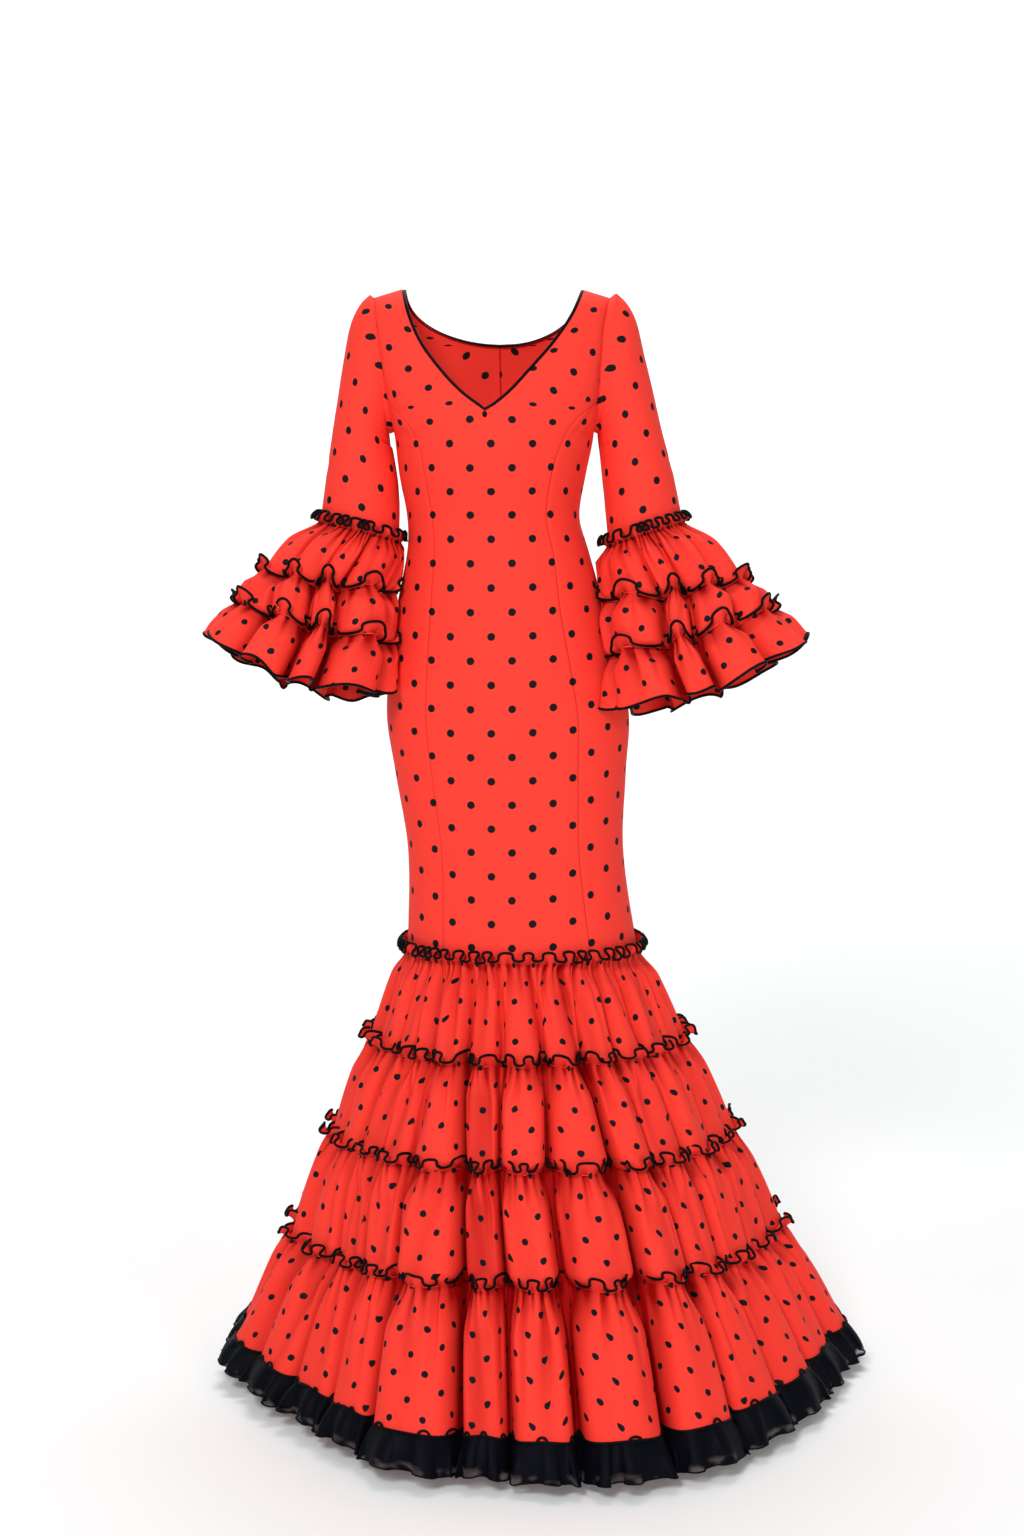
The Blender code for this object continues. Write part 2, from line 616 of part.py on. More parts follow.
def skirt_line(line):
    """The folded row where the tier above line ends; line 1 follows the body's own edge."""
    places = fold_places(SKIRT_FOLDS)
    if line == 1:
        turned = [fold_angle(skirt_valleys(1), place) for place in places]
        wrapped = [(angle + 180) % 360 - 180 for angle in turned]
        return [on_body(HEM_LEVEL_OF_BODY, angle) for angle in wrapped]
    free = line > len(SKIRT_LINES)
    return folded_row(skirt_hoop_of_line(line), skirt_valleys(line), skirt_depths(line), places,
                      reaches=skirt_reaches(line), backs=skirt_backs(line - 1) if free else None)


def make_skirt_tier(tier):
    """One gathered tier of the skirt: header, sewn line, swell and lower edge."""
    places = fold_places(SKIRT_FOLDS)
    sewn = moved_out(skirt_line(tier), LAP, UP)
    header = [point + UP * HEADER_HEIGHT for point in moved_out(sewn, HEADER_FLARE, UP)]
    top = skirt_hoop_of_line(tier)
    low = skirt_hoop_of_line(tier + 1)
    middle = Hoop(*(a + (b - a) * PUFF_AT for a, b in zip(top, low)))
    valleys = [a + (b - a) * PUFF_AT for a, b in zip(skirt_valleys(tier), skirt_valleys(tier + 1))]
    depths = [a + (b - a) * PUFF_AT for a, b in zip(skirt_depths(tier), skirt_depths(tier + 1))]
    reaches = [a + (b - a) * PUFF_AT for a, b in zip(skirt_reaches(tier), skirt_reaches(tier + 1))]
    swell = folded_row(middle, valleys, depths, places, SKIRT_PUFF, reaches, skirt_backs(tier))
    return grid_wall(f"skirt_tier_{tier}", [header, sewn, swell, skirt_line(tier + 1)], RED, closed=True)


def halved(points):
    """A closed ring with one more point in the middle of each straight edge."""
    doubled = []
    for i, here in enumerate(points):
        after = points[(i + 1) % len(points)]
        doubled += [here, (here + after) / 2]
    return doubled


def make_hem_ruffle():
    """The black ruffle: it starts on the lowest tier's edge and waves twice in each of its folds."""
    lowest = len(SKIRT_LINES) + 1
    sewn = halved(moved_out(skirt_line(lowest), LAP, UP))
    folds = folded_row(skirt_hoop(HEM_LINE), skirt_valleys(lowest), skirt_depths(lowest),
                       fold_places(SKIRT_FOLDS), reaches=skirt_reaches(lowest), backs=skirt_backs(lowest - 1))
    centre = sum(folds, Vector()) / len(folds)
    edge = []
    for i, point in enumerate(halved(folds)):
        outward = (point - centre).normalized()
        edge.append(point + outward * HEM_WAVE[i % len(HEM_WAVE)])
    return grid_wall("hem_ruffle", [sewn, edge], BLACK_ORGANZA, closed=True)


# ---------------------------------------------------------------- neck piping
def beside_neck(level, angle_at_level, side, back):
    """A point of the piping: off the panel's cut edge, in the cloth's own surface, towards the neck."""
    point = on_body(level, angle_at_level(level, side))
    along = on_body(level - NECK_STEP, angle_at_level(level - NECK_STEP, side)) - point
    towards = side if back else -side
    into = on_body(level, angle_at_level(level, side) + towards * NECK_PROBE) - point
    into -= into.project(along)
    return point + into.normalized() * (PIPING_RADIUS + SEAM)


def neckline_points():
    """The piping's middle line, row by row of the panels: the front V, then the back scoop."""
    front = [level for level in SHOULDER_LEVELS + FRONT_CHEST_LEVELS if level < SHOULDER_LEVELS[1]]
    scoop = [level for level in SHOULDER_LEVELS + BACK_CHEST_LEVELS if -NECK_BACK_DEPTH < level < 0]
    left = [beside_neck(level, front_neck_angle, -1, back=False) for level in front]
    right = [beside_neck(level, front_neck_angle, 1, back=False) for level in front]
    left_scoop = [beside_neck(level, back_neck_angle, -1, back=True) for level in scoop]
    right_scoop = [beside_neck(level, back_neck_angle, 1, back=True) for level in scoop]
    lift = PIPING_RADIUS + SEAM
    v_level = NECK_FRONT[-1].level
    v_foot = on_body(v_level, FRONT_TURN)
    v_tip = v_foot + (on_body(v_level + lift, FRONT_TURN) - v_foot) * V_LIFT
    scoop_foot = on_body(-NECK_BACK_DEPTH + lift, 180 + FRONT_TURN)
    return left + [v_tip] + right[::-1] + right_scoop + [scoop_foot] + left_scoop[::-1]


def make_neck_piping():
    curve = bpy.data.curves.new("neck_piping", "CURVE")
    curve.dimensions = "3D"
    curve.bevel_depth = PIPING_RADIUS
    curve.bevel_resolution = 1
    path = neckline_points()
    spline = curve.splines.new("POLY")
    spline.points.add(len(path) - 1)
    for point, place in zip(spline.points, path):
        point.co = (*place, 1.0)
    spline.use_cyclic_u = True
    curve.materials.append(material("neck_piping", BLACK_PIPING))
    piece = bpy.data.objects.new("neck_piping", curve)
    bpy.context.scene.collection.objects.link(piece)
    return piece


# ---------------------------------------------------------------- the dress
def make_dress():
    clear_scene()
    make_centre_front()
    for side_name, side in (("left", -1), ("right", 1)):
        make_side_panel("side_front_" + side_name, side, back=False)
        make_side_panel("side_back_" + side_name, side, back=True)
        make_centre_back("centre_back_" + side_name, side)
        make_sleeve(side_name)
        for tier in (1, 2, 3):
            make_sleeve_tier(side_name, tier)
    for tier in (1, 2, 3, 4):
        make_skirt_tier(tier)
    make_hem_ruffle()
    make_neck_piping()


make_dress()
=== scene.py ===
# %% [markdown]
# # A flamenco dress, in the shape it takes when worn
# The dress is a fitted princess-line body from shoulder to knee, two straight sleeves that end in three
# gathered tiers each, four gathered skirt tiers and a sheer black ruffle at the hem. The solids of the
# dress already exist as plain faceted walls. In this lesson each wall is replaced by a fine shell of cloth
# that follows the same lines, with its gathers, its rolled edges and its print.

import math
import random
from collections import namedtuple
from functools import cache

import bmesh
import bpy
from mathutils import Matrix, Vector


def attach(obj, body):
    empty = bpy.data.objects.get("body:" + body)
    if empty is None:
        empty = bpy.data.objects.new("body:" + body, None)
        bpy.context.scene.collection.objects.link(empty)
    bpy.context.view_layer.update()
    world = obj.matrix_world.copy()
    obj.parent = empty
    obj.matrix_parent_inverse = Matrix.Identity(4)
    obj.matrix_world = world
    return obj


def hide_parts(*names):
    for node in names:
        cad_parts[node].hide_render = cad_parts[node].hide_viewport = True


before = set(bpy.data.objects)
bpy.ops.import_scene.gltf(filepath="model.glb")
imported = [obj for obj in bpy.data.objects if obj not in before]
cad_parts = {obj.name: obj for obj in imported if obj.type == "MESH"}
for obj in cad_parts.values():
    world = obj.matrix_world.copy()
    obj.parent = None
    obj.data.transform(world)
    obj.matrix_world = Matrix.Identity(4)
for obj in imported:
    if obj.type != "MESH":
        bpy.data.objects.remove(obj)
UP = Vector((0, 0, 1))
SIDES = {"left": -1, "right": 1}  # as seen from the front
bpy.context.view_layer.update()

# %% [markdown]
# ## Measuring the body
# A fitted dress is described best by the sections that a dressmaker measures: shoulder, bust, waist, hip
# and knee. Each row holds one section. A cubic curve through the rows gives every level between them, which
# keeps the side seams smooth. A subdivision surface would do this too, but it would shrink away from the
# sizes.

# %%  Sections and a smooth reading between them
Section = namedtuple("Section", "level centre half_width front back")
BODY = [Section(*row) for row in (
    (0.000, -0.003, 0.1555, 0.074, 0.072),
    (-0.044, -0.005, 0.149, 0.077, 0.074),
    (-0.082, -0.004, 0.145, 0.092, 0.085),
    (-0.125, -0.003, 0.1405, 0.108, 0.092),
    (-0.162, -0.001, 0.136, 0.119, 0.094),
    (-0.198, 0.000, 0.132, 0.126, 0.092),
    (-0.245, -0.002, 0.1245, 0.118, 0.086),
    (-0.3, -0.001, 0.1155, 0.102, 0.081),
    (-0.344, 0.005, 0.1215, 0.103, 0.088),
    (-0.43, 0.009, 0.1415, 0.109, 0.108),
    (-0.56, 0.018, 0.1635, 0.113, 0.126),
    (-0.642, 0.022, 0.1565, 0.112, 0.118),
    (-0.752, 0.029, 0.1465, 0.11, 0.108),
    (-0.9, 0.039, 0.158, 0.12, 0.118),
)]


def smooth_read(table, column, level):
    """A column of a table at any level, on a smooth curve through its rows (levels fall row by row)."""
    levels = [row.level for row in table]
    values = [getattr(row, column) for row in table]
    last = len(table) - 1
    level = min(levels[0], max(levels[-1], level))
    row = max(i for i in range(last) if levels[i] >= level)

    def slope(i):
        before, after = max(i - 1, 0), min(i + 1, last)
        return (values[after] - values[before]) / (levels[after] - levels[before])

    span = levels[row + 1] - levels[row]
    part = (level - levels[row]) / span
    rise = part * part * (3 - 2 * part)
    straight = values[row] * (1 - rise) + values[row + 1] * rise
    bend = part * (1 - part) ** 2 * slope(row) - part * part * (1 - part) * slope(row + 1)
    return straight + span * bend


print("waist", round(2000 * smooth_read(BODY, "half_width", -0.3)), "mm wide,",
      "hips", round(2000 * smooth_read(BODY, "half_width", -0.56)), "mm wide")

# %% [markdown]
# ## The body's surface
# Every point of the body is named by its level and by the angle round it, 0 at the front and 90 on the +X
# side. Over the last few centimetres the body closes to the shoulder seam, and at the side it leaves the
# armhole open. Soft creases are added here as well, because cloth creases where a body bends it.

# %%  A point of the body
ROUNDNESS = 0.92  # 1 is a plain ellipse, less is squarer
FRONT_TURN = -3.5  # degrees that the centre front is turned towards -X
SEAM = 0.0003  # space between two pieces
SHOULDER_ROUND = 0.045  # height over which the body closes over the shoulder
SHOULDER_DROP = 0.0105  # fall of the shoulder seam from neck to sleeve
SHOULDER_DROP_LOW = 0.1  # height over which that fall fades out
ARMHOLE_LOW = -0.188
ARMHOLE_HALF_DEPTH = 0.05
BODY_LOW = -0.887
NECK_HALF = 0.1205
NECK_BACK_DEPTH = 0.072


def armhole_half(level):
    """Half the armhole's width along Y, nothing below the underarm."""
    if level <= ARMHOLE_LOW or level > 0:
        return 0.0
    middle = ARMHOLE_LOW / 2
    return ARMHOLE_HALF_DEPTH * math.sqrt(max(0.0, 1 - ((level - middle) / middle) ** 2))


@cache
def section_at(level):
    """The section at a level, kept so that a row of points reads the table only once."""
    return Section(level, *(smooth_read(BODY, column, level) for column in Section._fields[1:]))


def on_body(level, angle, out=0.0):
    """A point of the body's cloth: angle 0 is the front, 90 the +X side, 180 the back."""
    section = section_at(level)
    half_width = section.half_width + out
    facing, reach = math.cos(math.radians(angle)), math.sin(math.radians(angle))
    is_front = abs(angle) <= 90
    depth = (section.front if is_front else section.back) + out
    if level > -SHOULDER_ROUND:
        depth *= math.sqrt(max(0.0, 1 - (1 + level / SHOULDER_ROUND) ** 2))
    edge = armhole_half(level)
    x = half_width * math.copysign(abs(reach) ** ROUNDNESS, reach)
    y = SEAM / 2 + edge + (depth - edge) * abs(facing) ** ROUNDNESS
    fade = min(1.0, max(0.0, 1 + level / SHOULDER_DROP_LOW))
    beyond_neck = min(1.0, max(0.0, (abs(x) - NECK_HALF) / (half_width - NECK_HALF)))
    return Vector((section.centre + x, -y if is_front else y, level - SHOULDER_DROP * fade * beyond_neck))


# %% Creases that the body's cloth takes
Crease = namedtuple("Crease", "level angle slant length width depth")
BODY_CREASES = [Crease(*row) for row in (  # slant in degrees from upright, the rest in metres
    (-0.176, 60, 58, 0.03, 0.0055, 0.0016), (-0.19, 66, 70, 0.022, 0.005, 0.0013),
    (-0.158, 72, 38, 0.02, 0.0045, 0.0014), (-0.15, -68, -30, 0.026, 0.005, 0.0015),
    (-0.184, -66, -62, 0.024, 0.005, 0.0011), (-0.118, 64, 24, 0.024, 0.005, 0.001),
    (-0.112, -70, -20, 0.022, 0.005, 0.001), (-0.318, 64, 78, 0.03, 0.007, 0.001),
    (-0.336, -66, -80, 0.028, 0.007, 0.001), (-0.3, -52, -84, 0.022, 0.006, 0.0007),
    (-0.64, 58, 66, 0.045, 0.011, 0.001), (-0.7, -60, -64, 0.05, 0.011, 0.0011),
    (-0.8, 40, 24, 0.06, 0.012, 0.001), (-0.775, -34, -20, 0.07, 0.012, 0.001),
    (-0.3, 150, 84, 0.034, 0.0075, 0.0015), (-0.318, -152, -82, 0.038, 0.0075, 0.0014),
    (-0.336, 168, 88, 0.03, 0.007, 0.0012), (-0.166, 118, 52, 0.026, 0.0055, 0.0014),
    (-0.174, -120, -50, 0.028, 0.0055, 0.0014), (-0.66, 128, 66, 0.05, 0.011, 0.0012),
    (-0.712, -130, -68, 0.048, 0.011, 0.0011),
)]
CREASE_REACH = 2.2  # lengths up and down from a crease's middle at which it ends
RIDGE = 0.9  # how high the ridges stand beside the valley


def crease_relief(crease, first, second):
    """What one crease adds at a place: a valley with a lower ridge on each side of it."""
    turn = math.radians(crease.slant)
    along = (first * math.cos(turn) + second * math.sin(turn)) / crease.length
    across = (second * math.cos(turn) - first * math.sin(turn)) / crease.width
    if abs(along) >= 2.5 or abs(across) >= 4:
        return 0.0
    valley = (1 - RIDGE * across * across) * math.exp(-across * across)
    return -crease.depth * valley * math.exp(-along * along)


def creased(level, angle):
    """How far the creases move the body's cloth."""
    moved = 0.0
    for crease in BODY_CREASES:
        down = level - crease.level
        if abs(down) <= crease.length * CREASE_REACH:
            sideways = math.radians(angle - crease.angle) * section_at(level).half_width
            moved += crease_relief(crease, down, sideways)
    return moved


print(len(BODY_CREASES), "creases on the body")

# %% [markdown]
# ## Cloth as a grid
# A cut piece of cloth is a sheet with a grain, and a grid has the same two directions. Blender's grid
# operator makes the faces, and each vertex is then carried to its place. The grid also gets a UV map in
# metres of flat cloth, so that the print follows the weave through every fold instead of being projected
# on.

# %%  From rows of points to a piece of cloth
def distances_along(points):
    """Length of cloth from the first of some points to each of them."""
    total, lengths = 0.0, [0.0]
    for here, after in zip(points, points[1:]):
        total += (after - here).length
        lengths.append(total)
    return lengths


def flat_places(rows, across_rows, zero_row):
    """The place of every point on flat cloth, measured down each column from one row."""
    down = [distances_along(column) for column in zip(*rows)]
    return [[(across, down[c][zero_row] - down[c][r]) for c, across in enumerate(across_row)]
            for r, across_row in enumerate(across_rows)]


def in_scene(name, data):
    """An object for a mesh, a curve, a lamp or a camera."""
    thing = bpy.data.objects.new(name, data)
    bpy.context.scene.collection.objects.link(thing)
    return thing


def smooth_piece(name, bm, finish):
    mesh = bpy.data.meshes.new(name)
    bm.to_mesh(mesh)
    bm.free()
    mesh.shade_smooth()
    mesh.materials.append(finish)
    return in_scene(name, mesh)


def cloth(name, sheets, finish):
    """One piece of cloth from sheets of (rows of points, rows of flat places, rows of painted shade or
    nothing).
    """
    bm = bmesh.new()
    flat = bm.loops.layers.uv.new("cloth")
    painted_shade = bm.verts.layers.float.new("painted_shade")
    for rows, places, painted_shades in sheets:
        across, along = len(rows[0]) - 1, len(rows) - 1
        made = bmesh.ops.create_grid(bm, x_segments=across, y_segments=along, size=0.5)
        where = {v: (round((v.co.y + 0.5) * along), round((v.co.x + 0.5) * across)) for v in made["verts"]}
        for vert, (row, column) in where.items():
            for loop in vert.link_loops:
                loop[flat].uv = places[row][column]
        for vert, (row, column) in where.items():
            vert.co = rows[row][column]
            vert[painted_shade] = painted_shades[row][column] if painted_shades else 0.0
    bmesh.ops.remove_doubles(bm, verts=bm.verts, dist=0.00001)
    bmesh.ops.recalc_face_normals(bm, faces=bm.faces)
    return smooth_piece(name, bm, finish)


def area_of(piece):
    return sum(face.area for face in piece.data.polygons)


# %% [markdown]
# ## Cords and rolled edges
# Flamenco ruffles are finished with a narrow rolled edge in a thick black thread. Seen from a step away it
# is a round black line, so a curve with a round bevel is the natural choice: it keeps its thickness in
# every loop.

# %%  From a path to a cord
def cord_along(name, paths, radius, finish, closed=True):
    curve = bpy.data.curves.new(name, "CURVE")
    curve.dimensions = "3D"
    curve.bevel_depth = radius
    curve.bevel_resolution = 1
    curve.use_fill_caps = True
    for path in paths:
        spline = curve.splines.new("POLY")
        spline.points.add(len(path) - 1)
        for point, place in zip(spline.points, path):
            point.co = (*place, 1.0)
        spline.use_cyclic_u = closed
    curve.materials.append(finish)
    return in_scene(name, curve)


# %% [markdown]
# ## Shader arithmetic
# The print is a pattern of distances, so its material is mostly arithmetic. A small class lets sockets be
# added and multiplied like numbers, and one method makes any node, which keeps the formulas readable.

# %%  Sockets that can be added
class Wire:
    """An output socket that makes maths nodes when it is used in a formula."""

    def __init__(self, finish, output):
        self.finish = finish
        self.output = output

    def math(self, operation, *others):
        inputs = dict(enumerate((self, *others)))
        return self.finish.node("ShaderNodeMath", {"operation": operation}, inputs)[0]

    def __add__(self, other):
        return self.math("ADD", other)

    def __sub__(self, other):
        return self.math("SUBTRACT", other)

    def __rsub__(self, other):
        return self.finish.node("ShaderNodeMath", {"operation": "SUBTRACT"}, {0: other, 1: self})[0]

    def __mul__(self, other):
        return self.math("MULTIPLY", other)

    __radd__ = __add__
    __rmul__ = __mul__


class Finish:
    """A material whose nodes are made one at a time."""

    def __init__(self, name):
        self.material = bpy.data.materials.new(name)
        self.material.use_nodes = True
        self.tree = self.material.node_tree
        self.tree.nodes.clear()

    def node(self, kind, settings, inputs):
        """Makes a node: its settings first, then a value or a wire for each input. Returns its outputs."""
        made = self.tree.nodes.new(kind)
        for key, value in settings.items():
            setattr(made, key, value)
        for key, value in inputs.items():
            if isinstance(value, Wire):
                self.tree.links.new(value.output, made.inputs[key])
            else:
                made.inputs[key].default_value = value
        return [Wire(self, output) for output in made.outputs]

    def cloth_place(self):
        """The place on flat cloth, in metres."""
        return self.node("ShaderNodeUVMap", {"uv_map": "cloth"}, {})[0]

    def own_place(self):
        """The place in the piece's own space."""
        return self.node("ShaderNodeTexCoord", {}, {})[3]

    def parts(self, place):
        return self.node("ShaderNodeSeparateXYZ", {}, {0: place})

    def noise(self, place, scale, detail=2.0):
        return self.node("ShaderNodeTexNoise", {}, {"Vector": place, "Scale": scale, "Detail": detail})[0]

    def graded(self, value, low, high, at_low=0.0, at_high=1.0, step="LINEAR"):
        """A value that goes from at_low to at_high while another goes from low to high."""
        inputs = {0: value, 1: low, 2: high, 3: at_low, 4: at_high}
        return self.node("ShaderNodeMapRange", {"interpolation_type": step}, inputs)[0]

    def bump(self, height, strength):
        inputs = {"Strength": strength, "Distance": GRAIN_HEIGHT, "Height": height}
        return self.node("ShaderNodeBump", {}, inputs)[0]

    def mixed(self, factor, first, second):
        """A colour between two colours."""
        outputs = self.node("ShaderNodeMix", {"data_type": "RGBA"}, {0: factor, 6: first, 7: second})
        return outputs[2]

    def surface(self, inputs):
        shader = self.node("ShaderNodeBsdfPrincipled", {}, inputs)[0]
        self.node("ShaderNodeOutputMaterial", {}, {"Surface": shader})
        return self.material


# %% [markdown]
# ## The red crepe with black dots
# The cloth is a matt crepe in vermilion with a small black dot in rows, each row shifted by half a step.
# Two square lattices of dots, one shifted by half a step both ways, make that pattern. The distance to the
# nearest dot is worked out in metres of flat cloth. The print on the body is a little larger than the one
# on the gathered tiers, where the cloth is finer. A fine noise gives the pebbled crepe its grain, and folds
# are darkened by painted shade, a share of shade stored on each vertex.

# %%  Red crepe
RED = (0.93, 0.052, 0.034, 1.0)
DEEP_RED = (0.86, 0.04, 0.027, 1.0)
PAINTED_SHADE_RED = (0.34, 0.001, 0.001, 1.0)
DOT_BLACK = (0.005, 0.006, 0.008, 1.0)
Print = namedtuple("Print", "across down radius")  # metres between dots in a row, and between equal rows
BODY_PRINT = Print(0.0546, 0.0636, 0.0052)
TIER_PRINT = Print(0.045, 0.056, 0.0044)
DOT_SOFT = 0.00022  # width of a dot's printed edge
DOT_BLUR = 0.0008  # how far that edge wavers
DOT_BLUR_SCALE = 260.0  # its wavers, and the crepe's pebbles, for each metre
GRAIN_SCALE = 1100
GRAIN_HEIGHT = 0.0004


def dotted_crepe(name, pattern):
    finish = Finish(name)
    place = finish.cloth_place()
    across, down, _ = finish.parts(place)

    def from_lattice(shift):
        x = ((across * (1 / pattern.across) + shift).math("FRACT") - 0.5) * pattern.across
        y = ((down * (1 / pattern.down) + shift).math("FRACT") - 0.5) * pattern.down
        return (x * x + y * y).math("SQRT")

    grain = finish.noise(place, GRAIN_SCALE)
    blur = finish.noise(place, DOT_BLUR_SCALE, 1.0)
    nearest = from_lattice(0.5).math("MINIMUM", from_lattice(1.0)) + (blur - 0.5) * DOT_BLUR
    dot = finish.graded(nearest, pattern.radius - DOT_SOFT, pattern.radius + DOT_SOFT, 1.0, 0.0, "SMOOTHSTEP")
    # painted shade: the share stored on each vertex turns the red towards a dark red where folds lie deep
    painted_shade = finish.node("ShaderNodeAttribute", {"attribute_name": "painted_shade"}, {})[2]
    red = finish.mixed(painted_shade, finish.mixed(grain, RED, DEEP_RED), PAINTED_SHADE_RED)
    return finish.surface({
        "Base Color": finish.mixed(dot, red, DOT_BLACK),
        "Roughness": 0.7,
        "Specular IOR Level": 0.1,
        "Normal": finish.bump(grain, 0.1),
    })


body_crepe = dotted_crepe("red_crepe_body", BODY_PRINT)
tier_crepe = dotted_crepe("red_crepe_tiers", TIER_PRINT)
print("two prints of red crepe")

# %% [markdown]
# ## The black finishes
# The rolled edges are a black thread and the piping is a black satin, both with a soft shine. The hem
# ruffle is organza. Below the red hem behind it, it lets light through in soft patches, where its gathers
# lie in one layer, so its alpha falls there. A material of its own does this best, because all of the
# ruffle is one piece. Its black leans to blue.

# %%  Thread, satin and organza
BLACK = (0.003, 0.004, 0.005)
BLUE_BLACK = (0.0015, 0.0022, 0.0055)
WORN_SHARE = 0.6  # the darker of the two blacks that the grain mixes
OPAQUE = 0.995
SHEER_MOST = 0.55  # share of light that passes the organza where it hangs in one layer
SHEER_FROM, SHEER_TO = 0.036, 0.044  # metres below the ruffle's seam
PATCH_SCALE, PATCH_LOW, PATCH_HIGH = 42.0, 0.5, 0.64


def sheerness(finish):
    """How much light the organza lets through from place to place."""
    place = finish.cloth_place()
    low = finish.graded(finish.parts(place)[1], SHEER_FROM, SHEER_TO)
    thin = finish.graded(finish.noise(place, PATCH_SCALE, 1.0), PATCH_LOW, PATCH_HIGH, 0.0, SHEER_MOST)
    return low * thin


def plain_black(name, colour, roughness, grain_scale, sheer=False):
    finish = Finish(name)
    grain = finish.noise(finish.own_place(), grain_scale)
    return finish.surface({
        "Base Color": finish.mixed(grain, (*colour, 1.0), (*(WORN_SHARE * part for part in colour), 1.0)),
        "Roughness": roughness,
        "Specular IOR Level": 0.05,
        "Alpha": OPAQUE - sheerness(finish) if sheer else 1.0,
        "Normal": finish.bump(grain, 0.25),
    })


thread = plain_black("black_thread", BLACK, 0.5, 900)
satin = plain_black("black_satin", BLACK, 0.42, 600)
organza = plain_black("black_organza", BLUE_BLACK, 0.55, 1400, sheer=True)
print("three black finishes")

# %% [markdown]
# ## Cutting the body
# The body has a centre front cut whole, two side fronts, two side backs and two centre backs. Princess
# seams start in the armhole, run over the bust and fall straight, which is what shapes such a dress without
# darts. Each panel is a grid between two seams. At a seam the cloth turns in by a few millimetres, as the
# seam allowance does, and this draws the fine line that a seam shows.

# %%  Seams and neckline of the body
NeckRow = namedtuple("NeckRow", "level left right")
NECK_FRONT = [NeckRow(*row) for row in (
    (0.000, -0.1215, 0.1195),
    (-0.037, -0.112, 0.103),
    (-0.073, -0.096, 0.0785),
    (-0.108, -0.0705, 0.048),
    (-0.138, -0.042, 0.02),
    (-0.162, -0.0095, -0.0095),
)]
V_FOOT = NECK_FRONT[-1].level
SeamRow = namedtuple("SeamRow", "level angle")
PRINCESS = [SeamRow(*row) for row in (
    (-0.148, 90.0), (-0.158, 69.0), (-0.172, 56.0), (-0.198, 45.5),
    (-0.245, 40.5), (-0.344, 39.0), (-0.43, 36.5), (-0.9, 38.0),
)]
PRINCESS_TOP = PRINCESS[0].level
SEAM_STEP = 0.003


def angle_at(level, x):
    """The front angle at which the body reaches an x."""
    section = section_at(level)
    share = (x - section.centre) / section.half_width
    share = math.copysign(min(1.0, abs(share)) ** (1 / ROUNDNESS), share)
    return math.degrees(math.asin(share))


def half_seam_angle(level):
    """Degrees round the body for half a seam's space, which is more where the seam runs at a slant."""
    reach = section_at(level).half_width
    above, below = (smooth_read(PRINCESS, "angle", level + step) for step in (SEAM_STEP, -SEAM_STEP))
    slant = math.radians(above - below) * reach / (2 * SEAM_STEP)
    return math.degrees(SEAM / 2 * math.hypot(1, slant) / reach)


def princess_angle(level, side, back):
    from_middle = smooth_read(PRINCESS, "angle", level)
    if back:
        return side * max(90.0, side * (180 * side + FRONT_TURN - side * from_middle))
    return side * min(90.0, side * (FRONT_TURN + side * from_middle))


def front_neck_angle(level, side):
    if level <= V_FOOT:
        return FRONT_TURN
    return angle_at(level, smooth_read(NECK_FRONT, "left" if side < 0 else "right", level))


def back_neck_angle(level, side):
    middle = 180 * side + FRONT_TURN
    if level <= -NECK_BACK_DEPTH:
        return middle
    x = side * NECK_HALF * math.sqrt(1 - (level / NECK_BACK_DEPTH) ** 2)
    mirrored = 180 * side - angle_at(level, x)
    return mirrored + (middle - 180 * side) * min(1.0, -level / NECK_BACK_DEPTH) ** 3


# %%  Levels of the rows, close together where the cut curves
DOT_LEVEL = -0.2032  # a row of dots runs level round the body here


def levels_between(top, low, step):
    count = max(1, round((top - low) / step))
    return [top + (low - top) * i / count for i in range(count)]


FULL_HEIGHT = [0.0]
FULL_HEIGHT += [-0.0002, -0.0006, -0.0014, -0.003, -0.0055, -0.009, -0.014, -0.02, -0.028, -0.036, -0.044]
for top, low, step in (
    (-0.05, -0.065, 0.003), (-0.065, -0.07, 0.0012), (-0.07, -0.0726, 0.0004),
    (-0.0726, PRINCESS_TOP, 0.003), (PRINCESS_TOP, V_FOOT, 0.002),
    (V_FOOT, DOT_LEVEL, 0.004), (DOT_LEVEL, BODY_LOW, 0.0075),
):
    FULL_HEIGHT += levels_between(top, low, step)
FULL_HEIGHT.append(BODY_LOW)
SIDE_HEIGHT = [level for level in FULL_HEIGHT if level < PRINCESS_TOP - 0.0005]
print(len(FULL_HEIGHT), "rows on the front,", len(SIDE_HEIGHT), "on a side panel")

# %% [markdown]
# ## Placing the print on the body
# The front of the dress is cut so that one column of dots falls down its middle and the rows run level.
# Flat places are therefore measured round the body from that column, and down each column from one level
# row.

# %%  Flat places of the body's points
DOT_COLUMN = -0.0033  # x of the middle column of dots
ARC_STEP = 2.0  # degrees between two measured points of a section
ARC_END = 184  # a little past the back's middle


@cache
def arc_round(level):
    """The start of a section's print, and cloth lengths from there at even angles to both sides."""
    start = angle_at(level, DOT_COLUMN)
    lengths = {}
    for side in SIDES.values():
        points, angle = [on_body(level, start)], start
        while abs(angle) < ARC_END:
            angle += side * ARC_STEP
            points.append(on_body(level, angle if abs(angle) <= 180 else angle - 360 * side))
        lengths[side] = [side * length for length in distances_along(points)]
    return start, lengths


def cloth_across(level, angle):
    start, lengths = arc_round(level)
    side = 1 if angle >= start else -1
    place = abs(angle - start) / ARC_STEP
    index = min(int(place), len(lengths[side]) - 2)
    first, second = lengths[side][index:index + 2]
    return first + (second - first) * (place - index)


# %%  A panel
SEAM_DIP = 0.0007  # how far the cloth rolls in at a seam
SEAM_ROLL = 1.2  # degrees over which it does so
ALLOWANCE = 0.005  # depth of the turned-in seam allowance


